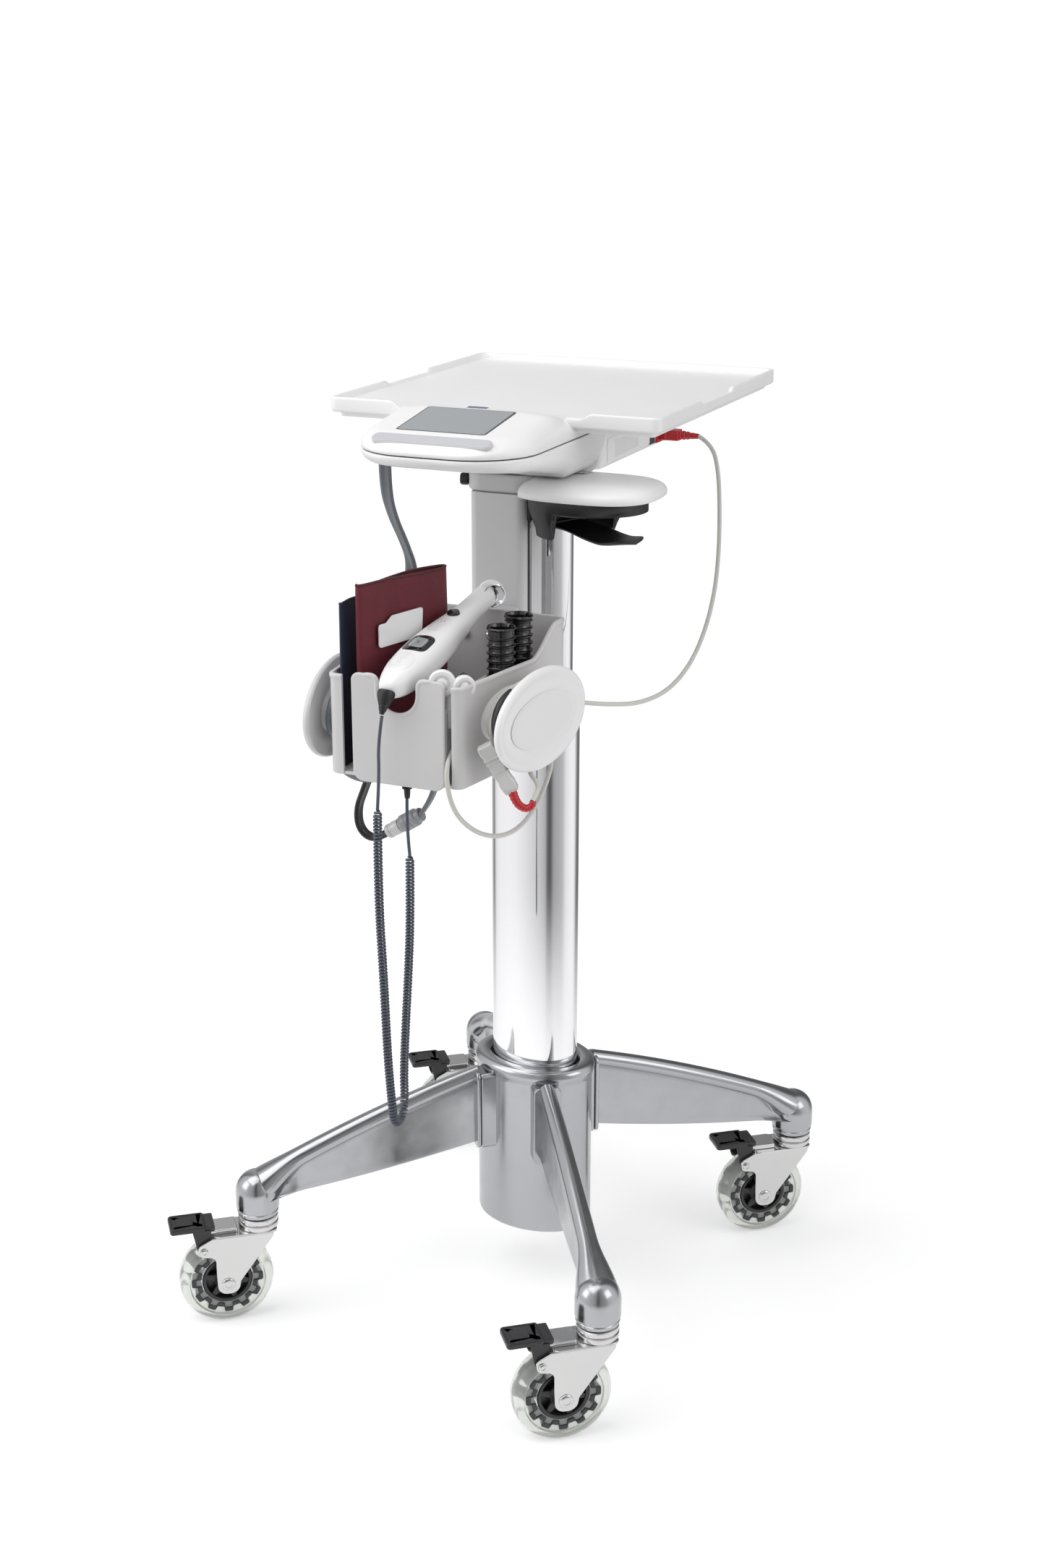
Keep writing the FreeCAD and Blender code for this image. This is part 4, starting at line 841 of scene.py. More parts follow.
def wall_shell():
    """Side and back walls in one strip: a profile with a rolled lip carried along the plan, its top at
    the side's front height rising by a smooth S to the back height."""
    plan = outline((-56, -312.4, 0), (-68.4, -312.4, 7), (-84.5, -139.6, 9), (90.4, -139.6, 9),
                   (60.4, -312.4, 7), (52.5, -312.4, 0), open_ends=True)
    plan = evenly(plan, 2.5)
    out = sideways(plan)
    top = 764.5 + 27.5 * smooth((plan[:, 1] + 199) / 44)
    profile = [(-1.4, 0, 0.0), (0.8, 0, 0.0), (1.5, 0, 0.8), (1.5, 1, -6.0), (1.9, 1, -4.6),
               (2.5, 1, -3.4), (2.6, 1, -1.8), (2.1, 1, -0.6), (1.1, 1, 0.0), (-0.6, 1, 0.0),
               (-1.3, 1, -0.5), (-1.5, 1, -1.6), (-1.5, 0, 3.0)]
    rows = []
    for off, share, dz in profile:
        x, y = (plan + out * off).T
        rows.append(np.column_stack([x, y, BIN_Z0 + (top - BIN_Z0) * share + dz]))
    return np.stack(rows, 1)


def notch_lip():
    """Bead along the front plate's top edge and notch."""
    line = outline((-39, 767, 0), (-20.5, 767, 6), (-20.5, 733, 20.4), (20.5, 733, 20.4), (20.5, 767, 6),
                   (39, 767, 0), open_ends=True, step=8)
    line = evenly(line, 1.5)
    path = np.column_stack([line[:, 0], np.full(len(line), -314.0), line[:, 1]])
    run = np.linspace(0, 1, len(path))
    return tube(path, 2.3 * np.clip(np.minimum(run, 1 - run) * 14, 0.35, 1), 12, side=(0, 1, 0))


def basket():
    """Basket: wall strip, floor, notched front plate, divider and the block on the spine."""
    floor = slab(outline((-69, -313, 8), (61, -313, 8), (91, -139, 8), (-85, -139, 8)), BIN_Z0,
                 BIN_Z0 + 3, 1.2)
    plate = outline((-46, 666.5, 10), (46, 666.5, 10), (46, 768, 7), (20, 768, 5), (20, 733.6, 19.9),
                    (-20, 733.6, 19.9), (-20, 768, 5), (-46, 768, 7))
    front = plate_y(plate, -315.4, -310.6, 1.6)
    parting = outline((-310.5, 672, 2), (-140, 672, 2), (-140, 751, 4), (-292, 751, 14), (-310.5, 738, 6))
    divider = plate_x(parting, 42.8, 46.0, 1.2)
    carrier = block(-25, 25, -139, -98.2, 700, 786, 3, 3)
    piece("basket", "head", GREY, wall_shell(), floor, front, divider, carrier, notch_lip(),
          covers=("basket_bin",))
    screws = [set_on(lathe([(0, 0), (4.6, 0), (4.4, 1.2), (2.6, 1.9), (2.3, 1.2), (0, 1.1)], 32),
                     (x, -142.9, z), (1, 0, 0), (0, -1, 0)) for x in (-14, 14) for z in (722, 766)]
    piece("basket_screws", "head", ZINC, *screws)


DISC_Y, DISC_Z, SPOOL = {1: -240.0, -1: -246.0}, {1: 724.0, -1: 714.0}, {1: 32.0, -1: 18.0}


def on_side(shell, side):
    """A shell built about +Z, laid outwards on one side of the basket at its disc's centre."""
    front, back = FRONT_X[side], BACK_X[side]
    lean = math.degrees(math.atan2(back - front, BIN_BACK - BIN_FRONT))
    out = front + (DISC_Y[side] - BIN_FRONT) * (back - front) / (BIN_BACK - BIN_FRONT)
    placed = shift(turn(swap(shell, "zxy"), -lean), out, DISC_Y[side], DISC_Z[side])
    return placed * [side, 1, 1]


def discs():
    """Cord-wrap disc at each side: spool, dished disc with a raised rim, and a bare oval plate."""
    for side, name in ((1, "right"), (-1, "left")):
        z = SPOOL[side]
        dish = ovals(73, 47, [(-34, z + 1.5), (-20, z + 0.4), (-4, z), (-1.4, z + 0.5), (-0.2, z + 1.9),
                              (0, z + 3.4), (-0.5, z + 5.4), (-1.8, z + 6.6), (-3.6, z + 7.1),
                              (-5.6, z + 7.0), (-7.4, z + 6.2), (-9.0, z + 5.4), (-11.5, z + 5.0),
                              (-15, z + 5.3), (-21, z + 6.1), (-30, z + 6.9), (-36, z + 7.0)])
        spool = ovals(41, 23, [(2.5, -0.5), (0.6, 1.0), (0, 3), (0, z - 2), (1.5, z + 0.8),
                               (-12, z + 1.2)])
        # The left disc takes the pale grey as painted shade: it is the same white part as the right disc,
        # seen on its shaded inner side.
        paint = WHITE if side > 0 else SPINE_AND_DISC_SHADE
        piece("wrap_plate_" + name, "head", paint, on_side(dish, side), on_side(spool, side),
              covers=("wrap_disc_" + name,))
        plate = ovals(53, 25.5, [(-3, z + 6.2), (-0.3, z + 6.3), (0, z + 6.8), (-0.4, z + 7.3),
                                 (-1.6, z + 7.3), (-2.0, z + 7.1), (-8, z + 7.1)])
        piece("disc_badge_" + name, "head", FACE, on_side(plate, side))


# ---- what stands in the basket ------------------------------------------------------------------
TAIL, CROWN_END = np.array([-5.0, -327, 757]), np.array([12.0, -142, 808])


def on_thermometer(shell):
    """Local X along the thermometer from its tail, local Z out of its upper face."""
    return set_on(shell, TAIL, CROWN_END - TAIL, (0, 0, 1))


def body_half(s, kind):
    """Half width or half thickness of the thermometer at a share of its length."""
    at = [0, 0.03, 0.08, 0.16, 0.26, 0.38, 0.5, 0.6, 0.7, 0.8, 0.9, 0.97, 1.0]
    wide = [7, 10.5, 14.5, 18.2, 19.6, 19.8, 18.4, 16.0, 13.4, 11.6, 11.0, 11.0, 10.6]
    deep = [6.5, 9.5, 12.8, 15.2, 16.2, 16.0, 14.8, 13.0, 11.2, 10.0, 9.6, 9.8, 9.6]
    fine = np.linspace(0, 1, 201)
    half = eased(fine, at, wide if kind == "wide" else deep, 5)
    return np.interp(s, fine, half)


def thermometer():
    """Handheld thermometer: superellipse sections whose widths run along its length, rounded at both ends;
    a window, a button, a bare label, a collar and a polished bell at the head."""
    length = float(np.linalg.norm(CROWN_END - TAIL))
    s = np.concatenate([0.03 * (1 - np.cos(np.linspace(0, math.pi / 2, 9))), np.linspace(0.04, 0.95, 60),
                        1.0 - 0.045 * (1 - np.sin(np.linspace(0, math.pi / 2, 9)))])
    close = np.minimum(np.sqrt(np.clip(1 - (1 - np.clip(s / 0.03, 0, 1)) ** 2, 0, 1)),
                       np.sqrt(np.clip(1 - (1 - np.clip((1 - s) / 0.045, 0, 1)) ** 2, 0, 1)))
    ring = oval_line(1, 1, 48, 2.5)
    y = ring[None, :, 0] * (body_half(s, "wide") * close)[:, None]
    z = ring[None, :, 1] * (body_half(s, "deep") * close)[:, None]
    shell = np.stack([s[:, None] * length + 0 * y, y, z], -1)
    piece("thermometer_shell", "head", WHITE, on_thermometer(shell), covers=("thermometer_body",),
          sharp=60, even=False)

    def patch(s0, s1, half, lift, drop, power=4.0):
        """A thin plate on the upper face, following the body's bow."""
        line = oval_line((s1 - s0) * length / 2, half, 48, power)
        rows = []
        for ins, up in (
                (0.8, -drop),
                (0, -drop),
                (0, lift * 0.6),
                (0.5, lift),
                (3, lift),
                (half * 0.9, lift)):
            x, w = inset(line, ins).T
            x = x + (s0 + s1) / 2 * length
            wide, deep = body_half(x / length, "wide"), body_half(x / length, "deep")
            roof = deep * (1 - np.clip(np.abs(w) / wide, 0, 0.98) ** 2.5) ** (1 / 2.5)
            rows.append(np.column_stack([x, w, roof + up]))
        return on_thermometer(np.stack(rows))

    piece("thermometer_window", "head", GLOSS_BLACK, patch(0.255, 0.40, 12.5, 0.5, 1.5), even=False)
    piece("thermometer_lens", "head", SCREEN, patch(0.285, 0.372, 7.5, 0.75, 0.3), even=False)
    piece("thermometer_plate", "head", FACE, patch(0.44, 0.60, 7.5, 0.35, 0.5), even=False)
    piece("thermometer_panel", "head", FACE, patch(0.10, 0.235, 11.0, 0.3, 0.5, 2.6), even=False)
    at = 0.66 * length
    roof = float(body_half(0.66, "deep"))
    cap = lathe([(0, roof - 3), (6.0, roof - 3), (6.0, roof + 1.0), (5.6, roof + 2.0), (4.6, roof + 2.5),
                 (0, roof + 2.2)], 40)
    piece("thermometer_key", "button", GLOSS_BLACK, on_thermometer(shift(cap, at)),
          covers=("thermometer_button",))
    collar = lathe([(0, 2), (12.4, 2), (13.4, 3), (13.6, 4.6), (12.8, 6.0), (9, 6.8), (0, 7)], 56)
    bell = lathe([(0, 6), (8.6, 6), (9.0, 7.5), (10.2, 10.5), (11.2, 13.5), (11.3, 14.4), (10.6, 14.8),
                  (9.6, 14.0), (7.6, 10.6), (4.8, 8.6), (0, 8.2)], 56)
    aim = (0.62, -0.60, 0.42)
    piece("probe_collar", "head", WHITE, set_on(collar, CROWN_END, (0, 0, 1), aim))
    piece("probe_bell", "head", CHROME, set_on(bell, CROWN_END - np.array(aim) * 0.5, (0, 0, 1), aim))
    exit_at = np.array([-4.0, -337, 738])
    relief = lathe([(0, 0), (7.4, 0), (8.2, 2), (7.6, 6), (6.2, 10), (5.2, 12), (4.9, 13.4), (4.2, 14),
                    (4.2, 15), (4.0, 16), (3.5, 16.6), (3.5, 17.8), (2.6, 19.4), (2.1, 21.4), (0, 21.6)],
                   36)
    root = TAIL + (CROWN_END - TAIL) * 0.012
    piece("lead_relief", "head", SOFT_BLACK, set_on(relief, root, (1, 0, 0), exit_at - root))


def cuff_line(p, q, width, turns, gap, count=260):
    """Plan of a rolled cuff: a flattened spiral whose radius shrinks by gap each turn."""
    p, q = np.array(p, float), np.array(q, float)
    half = np.linalg.norm(q - p) / 2
    along = unit(q - p)
    side = np.array([-along[1], along[0]])
    t = np.linspace(0, turns * TAU, count) + math.pi * 0.9
    shrink = gap * (t - t[0]) / TAU
    c, s = np.cos(t), np.sin(t)
    x = signed(c, 0.72) * (half - shrink)
    y = signed(s, 0.9) * (width / 2 - shrink)
    sag = 1.3 * np.sin(t * 1.7 + 0.6) * np.exp(-((np.abs(x) - half * 0.4) / (half * 0.6)) ** 2)
    return (p + q) / 2 + along * x[:, None] + side * (y + sag)[:, None]


def cloth_band(plan, z0, top, thick):
    """Cloth stood on edge along a plan line: height runs from the floor to a softly uneven top, the
    section's edges are rounded, and slow waves move it a little sideways."""
    plan = evenly(plan, 2.0)
    run = run_of(plan)
    out = sideways(plan)
    levels = np.concatenate([[0, 0.012], np.linspace(0.04, 0.95, 26), [0.985, 1.0]])
    bulge = np.concatenate([[0.35, 0.9], np.ones(26), [0.9, 0.3]])
    sides = [(-thick / 2, levels, bulge), (thick / 2, levels[::-1], bulge[::-1])]
    rows, lay = [], []
    for off, level, fat in sides:
        for share, b in zip(level, fat):
            height = z0 + (top(run / run[-1]) - z0) * share
            wave = 0.55 * np.sin(run / 17 + share * 5) * math.sin(math.pi * share)
            wave = wave + 0.3 * np.sin(run / 7 + 9 * share)
            xy = plan + out * (off * b + wave[:, None] * 0.8)
            rows.append(np.column_stack([xy, height]))
            lay.append(np.column_stack([run * MM, height * MM, np.full(len(run), off * MM)]))
    return np.stack(rows, 1), np.stack(lay, 1).reshape(-1, 3), run[-1]


def cuffs():
    """Two folded cuffs standing in the basket, hemmed along their tops, with a bare plate on the larger."""
    for name, paint, hem, p, q, width, turns, gap, top_z, thick, tall in (
            ("burgundy", BURGUNDY, HEM, (-47, -297), (-15, -180), 16.0, 2.1, 3.3, 843.0, 2.3, 0.167),
            ("navy", NAVY, NAVY, (-62.5, -301), (-68.5, -217), 7.5, 1.6, 2.2, 826.0, 1.6, 0.149)):
        plan = cuff_line(p, q, width, turns, gap)

        def top(share, top_z=top_z):
            return top_z - 7.5 * share + 1.2 * np.sin(share * 21)

        shell, lay, length = cloth_band(plan, BIN_Z0 + 3.4, top, thick)
        cloth = piece("cuff_" + name + "_cloth", "head", paint, shell, covers=("cuff_" + name,), sharp=75,
                      lay=lay, even=False)
        line = evenly(plan, 2.0)
        share = np.linspace(0, 1, len(line))
        edge = tube(np.column_stack([line, top(share) - 0.4]), thick * 0.62, 8, side=(0, 0, 1))
        stitch_lay = edge.reshape(-1, 3) * MM
        trim = piece("cuff_" + name + "_hem", "head", hem, edge, sharp=75, lay=stitch_lay, even=False)
    way = unit([32.0, 117.0])
    out = np.array([way[1], -way[0]])
    plate = outline((-30, -13.5, 3), (28, -13.5, 3), (30, 13.5, 3), (-12, 13.5, 3), (-20, 8, 3),
                    (-30, 8, 3))
    middle = np.array([-31.0, -238.5]) + way * -14 + out * 10.2
    card = set_on(slab(plate, -0.8, 0.7, 0.3), (*middle, 797), (*way, 0), (*out, 0))
    piece("cuff_plate", "head", FACE, card)


def stacks():
    """Nested probe covers: each rim a rounded rib on a slightly tapered wall, the last one open."""
    for k, (x, y, top) in enumerate(((60, -182, 801.0), (60, -222, 799.0))):
        profile = [(0, BIN_Z0 + 3.2), (11, BIN_Z0 + 3.2)]
        z = BIN_Z0 + 6.0
        while z < top - 9:
            profile += [(11.6, z), (11.3, z + 3.1), (12.9, z + 3.8), (13.6, z + 4.7), (13.5, z + 5.6),
                        (12.2, z + 6.3)]
            z += 7.2
        profile += [(12.2, top - 3), (13.7, top - 2), (13.8, top - 0.8), (13.0, top), (12.2, top - 0.6),
                    (11.2, top - 4), (10.4, top - 14), (5.0, top - 18), (0, top - 18)]
        made = shift(lathe(profile, 48), x, y)
        piece("cover_stack_%d" % (k + 1), "head", GLOSS_BLACK, made,
              covers=("probe_cover_stacks",) if k == 0 else ())


def clip_caps():
    """Two small round white holders clipped on the divider's front end."""
    shells = []
    for x, y, z, r, aim in (
            (39, -303, 765, 11.5, (0.35, -0.85, 0.4)),
            (56, -296, 762, 9.5, (0.6, -0.7, 0.35))):
        cap = lathe([(0, 0), (r, 0), (r + 0.8, 1), (r + 0.8, 5), (r - 0.4, 6.2), (r * 0.72, 6.2),
                     (r * 0.62, 4.6), (r * 0.5, 4.2), (r * 0.42, 5.4), (r * 0.3, 6.4), (0, 6.6)], 44)
        shells.append(set_on(cap, (x, y, z), (0, 0, 1), aim))
    stem = bent([(41, -300, 762), (45, -302, 750), (45, -303, 736), (44.5, -303, 724)], 20)
    shells.append(tube(stem, 3.2, 12))
    stem = bent([(55, -293, 760), (53, -290, 748), (50, -288, 738)], 16)
    shells.append(tube(stem, 3.0, 12))
    piece("clip_holder", "head", WHITE, *shells)


# ---- release grip -------------------------------------------------------------------------------
GRIP_X, GRIP_Y, GRIP_RX, GRIP_RY, LEVER_TURN = 91.0, -85.0, 71.0, 58.0, -24.0
PIN = np.array([GRIP_X - 28 * math.cos(math.radians(LEVER_TURN)),
                GRIP_Y - 28 * math.sin(math.radians(LEVER_TURN)), 869.0])


def grip():
    """Domed handle, black cup open towards the paddle, curved paddle and the cable that it pulls."""
    dome = ovals(GRIP_RX, GRIP_RY, [(-20, 899.6), (-6, 899.2), (-2.6, 898.4), (-0.8, 898.8), (0, 900),
                                    (0, 902.6), (-0.5, 904.4), (-2.2, 906.6), (-5.5, 908.6), (-10, 910.0),
                                    (-18, 911.2), (-28, 911.7), (-33, 911.8)], 128, 2.8)
    neck = block(37, 72, -92, -66, 899.5, 907, 4, 3)
    handle = shift(dome, GRIP_X, GRIP_Y)
    handle[..., 0] = np.maximum(handle[..., 0], 36.6)
    piece("grip_handle", "head", WHITE, handle, neck, covers=("grip_housing",), sharp=60, even=False)
    rows = []
    steps = [(0.0, 12, 9, 899.4), (0.12, 12.4, 9.4, 895), (0.35, 14, 10.5, 886), (0.6, 19, 14, 876),
             (0.85, 25, 18.5, 865), (1.0, 27, 20, 858.4)]
    for share, dx, dy, z in steps:
        line = oval_line(GRIP_RX - dx, GRIP_RY - dy, 72, 2.15)
        x, y = line[:, 0] + GRIP_X - 7 * share, line[:, 1] + GRIP_Y
        rows.append(np.column_stack([x, y, np.full(72, z)]))
    outer = np.stack(rows)
    t = np.arange(72) * TAU / 72
    mouth = np.cos(t - math.radians(LEVER_TURN))
    outer[..., 2] = np.maximum(outer[..., 2], 883.5 * (mouth > 0.1))
    centre = outer.mean(1, keepdims=True)
    inner = outer.copy()
    inner[..., :2] = centre[..., :2] + (outer[..., :2] - centre[..., :2]) * 0.93
    inner[-1, :, 2] += 1.5
    shell = np.concatenate([outer, inner[::-1]])
    shell[..., 0] = np.maximum(shell[..., 0], 37.0)
    floor = ovals(GRIP_RX - 14, GRIP_RY - 11, [(-3, 884), (0, 884.6), (0, 898), (-3, 899)], 72)
    floor = shift(floor, GRIP_X, GRIP_Y)
    floor[..., 0] = np.maximum(floor[..., 0], 37.0)
    pin = turn(swap(lathe([(1.95, -34), (1.95, 34)], 20), "xzy"), LEVER_TURN) + PIN
    piece("grip_bowl", "head", SOFT_BLACK, shell, floor, pin, covers=("grip_cup",), sharp=60, even=False)
    x = np.linspace(-5, 90, 40)
    share = np.clip((x + 5) / 95, 0, 1)
    drop_z = -3.5 - 8.0 * smooth(share / 0.75) + 3.8 * smooth((share - 0.68) / 0.32)
    tip = np.clip((x - 66) / 24.2, 0, 1) ** 2.4
    half = 23.0 * np.sqrt(np.clip(1 - tip, 0.0, 1)) * (0.82 + 0.18 * smooth(share / 0.5))
    section = oval_line(1, 1, 36, 3.4)
    y = section[None, :, 0] * half[:, None]
    dish = 1.6 * (section[None, :, 0] ** 2) * smooth(share / 0.4)[:, None]
    z = drop_z[:, None] + dish + section[None, :, 1] * (2.1 + 1.6 * (1 - smooth(share / 0.3)))[:, None]
    paddle = np.stack([x[:, None] + 0 * y, y, z], -1)
    piece("release_paddle", "lever", SOFT_BLACK, turn(paddle, LEVER_TURN) + PIN,
          covers=("release_lever",), sharp=70, even=False)
    cable = bent([(31, -85, 880), (34, -90, 892), (42, -101, 902), (54, -106, 903), (64, -104, 898),
                  (70, -100, 890)], 40)
    second = bent([(31.5, -85, 884), (38, -92, 880), (47, -98, 875), (58, -101, 874), (66, -99, 877)], 36)
    piece("pull_cable", "head", SOFT_BLACK, tube(cable, 1.6, 10, side=(0, 0, 1)),
          tube(second, 1.2, 10, side=(0, 0, 1)))


# ---- cords --------------------------------------------------------------------------------------
ROUTES = {
    "cuff_hose": [(-76, -180, 933), (-79, -174, 905), (-76, -166, 878), (-69, -157, 853),
                  (-64, -152, 832), (-66, -150, 812), (-78, -150, 802), (-91, -154, 799),
                  (-98, -166, 788), (-96, -178, 772), (-90, -190, 752), (-88, -198, 738)],
    "cuff_hose_end": [(-86, -264, 678), (-84, -270, 666), (-74, -273, 659), (-60, -275, 656),
                      (-46, -274, 657), (-42, -274, 662), (-42, -274, 670)],
    "coupling_hose": [(12, -258, 670), (11, -258, 655), (5, -257, 639), (-2, -256, 627), (-8, -255, 619)],
    "cuff_tubes": [(-42, -255, 597), (-52, -256, 590), (-63, -257, 590), (-72, -257, 600),
                   (-73, -256, 618), (-66, -255, 636), (-60, -254, 653), (-60, -254, 670)],
    "thermometer_lead": [(-4, -337, 738), (-8, -338, 712), (-8, -337, 682), (-11, -336, 650)],
    "gland_lead": [(-4, -290, 655), (-5, -291, 622), (-2, -291, 592)],
    "thermometer_coil": [(-11, -336, 650), (-13, -335, 570), (-10, -333, 480), (-9, -331, 408),
                         (-7, -330, 368), (-6, -329, 350), (-6, -327, 338), (-6, -322, 331),
                         (-7, -314, 328), (-7, -306, 331), (-8, -301, 338), (-8, -299, 350),
                         (-9, -298, 368), (-8, -296, 408), (-5, -293, 470), (-2, -292, 530),
                         (-2, -291, 592)],
    "sensor_cable": [(124, 133, 921), (140, 130, 914), (150, 122, 888), (155, 114, 850), (160, 100, 812),
                     (165, 76, 776), (168, 40, 744), (168, -5, 719), (163, -55, 705), (150, -100, 703),
                     (133, -140, 711), (112, -172, 720), (103, -188, 725)],
    "sensor_tail": [(98, -250, 688), (103, -258, 676), (115, -267, 671), (121, -277, 667),
                    (118, -284, 659)],
    "sensor_loop": [(48.3, -296, 708), (48.6, -307, 702), (49, -318, 690), (51, -319, 668),
                    (54, -310, 646), (60, -294, 628), (67, -274, 615), (77, -256, 610), (88, -241, 616),
                    (97, -228, 632), (103, -216, 653), (106, -207, 676), (99, -208, 693)],
}


def route_curve(name, points, radius=0.0):
    """NURBS curve of order 3 through its first and last points, with a route's points as control points."""
    curve = bpy.data.curves.new(name, "CURVE")
    curve.dimensions = "3D"
    curve.resolution_u = 14
    curve.bevel_depth = radius * MM
    curve.bevel_resolution = 5
    curve.use_fill_caps = radius > 0
    spline = curve.splines.new("NURBS")
    spline.points.add(len(points) - 1)
    where = np.column_stack([in_frame(points), np.ones(len(points))])
    spline.points.foreach_set("co", where.astype(np.float32).ravel())
    spline.order_u = 3
    spline.use_endpoint_u = True
    return add(name, curve)


def route_line(points):
    """Points along a route's NURBS line, in millimetres, and its length in metres."""
    guide = route_curve("guide", points)
    bpy.context.view_layer.update()
    mesh = bpy.data.meshes.new_from_object(guide.evaluated_get(bpy.context.evaluated_depsgraph_get()))
    co = np.empty(len(mesh.vertices) * 3)
    mesh.vertices.foreach_get("co", co)
    curve = guide.data
    bpy.data.objects.remove(guide)
    bpy.data.curves.remove(curve)
    bpy.data.meshes.remove(mesh)
    line = (co.reshape(-1, 3) - AXIS) * 1000
    return line, float(steps_of(line).sum()) * MM


def plain_cord(name, route, radius, paint, slot, **facts):
    """A round cord on its route, riding on the head."""
    made = route_curve(name, ROUTES[route], radius)
    made.data.materials.append(paint)
    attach(made, "head")
    if route in ("sensor_cable", "sensor_loop", "thermometer_lead"):
        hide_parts(route)
    _, length = route_line(ROUTES[route])
    return made


def twin_cord(name, route, radius, paint, slot, covers, side, **facts):
    """Two tubes side by side, joined by a web: sections are a figure of eight across the route's line."""
    line, length = route_line(ROUTES[route])
    line = evenly(line, 2.0)
    _, across, over = ways(line, side)
    t = np.arange(28) * TAU / 28
    u = radius * 0.52 * signed(np.cos(t), 0.35) + radius * 0.48 * np.cos(t)
    v = radius * 0.52 * np.sin(t) * (0.42 + 0.58 * np.abs(np.cos(t)) ** 0.5)
    stack = line[:, None] + u[None, :, None] * across[:, None] + v[None, :, None] * over[:, None]
    made = piece(name, "head", paint, stack, covers=covers, slot=slot, sharp=80, even=False)
    return made


COIL_PITCH, COIL_RADIUS, COIL_WIRE = 3.3, 3.15, 1.2


def curly_cord():
    """Curly lead: a wire on a helix about the route's line; its radius closes to nothing at both ends."""
    line, length = route_line(ROUTES["thermometer_coil"])
    line = evenly(line, 0.25)
    run = np.linspace(0, length * 1000, len(line))
    _, across, over = ways(line, (1.0, 0.0, 0.0))
    turns = run / COIL_PITCH * TAU
    reach = COIL_RADIUS * np.clip(np.minimum(run, run[-1] - run) / 5.0, 0.12, 1)[:, None]
    out = np.cos(turns)[:, None] * across + np.sin(turns)[:, None] * over
    wire = line + reach * out
    tangent = unit(np.gradient(wire, axis=0))
    out = unit(out)
    out = unit(out - (out * tangent).sum(1, keepdims=True) * tangent)
    other = np.cross(tangent, out)
    stack = circles(wire, COIL_WIRE, out, other, 7)
    made = piece("curly_lead", "head", LEAD, stack, covers=("thermometer_coil",), sharp=80, even=False)
    return made


def spool_line(side, turns, radius, pitch, start, count):
    """Turns on a spool: an oval stepping sideways each turn, and out a diameter where it turns back."""
    t = np.linspace(0, turns * TAU, count)
    run = t / TAU * pitch
    wide = SPOOL[side] - 2 * start
    across = start + wide - np.abs(run % (2 * wide) - wide)
    layer = np.floor(run / wide) + smooth(np.clip(((run / wide) % 1 - 0.86) / 0.14, 0, 1))
    grow = radius * (1.15 + 2.02 * layer)
    x, y = (42 + grow) * np.cos(t - 0.7), (24 + grow) * np.sin(t - 0.7)
    return on_side(np.column_stack([x, y, across]), side)


def windings():
    """Turns of hose and of sensor cable on the spools, and the dark sleeve of the soft sensor."""
    for side, name, radius, paint, turns, pitch, start, slot_name, node in (
            (1, "sensor_turns", 2.1, PALE, 6.8, 4.6, 6.5, "lead_white", "sensor_winding"),
            (-1, "hose_turns", 3.7, HOSE, 1.3, 7.7, 4.0, "hose_grey", "hose_winding")):
        line = evenly(spool_line(side, turns, radius, pitch, start, 700), 2.5)
        made = piece(name, "head", paint, tube(line, radius, 12, side=(1, 0.05, 0)), covers=(node,),
                     slot=slot_name, sharp=80, even=False)
    t = np.radians(np.linspace(118, 236, 40))
    arc = on_side(np.column_stack([51.5 * np.cos(t), 33.0 * np.sin(t), 22 + 3 * np.sin(t * 2)]), 1)
    piece("sensor_sleeve", "head", BLACK,
          tube(arc, 4.4 * np.sin(np.linspace(0.25, math.pi - 0.25, 40)) ** 0.35, 14, side=(1, 0.05, 0)),
          slot="hose_black", even=False, sharp=80)


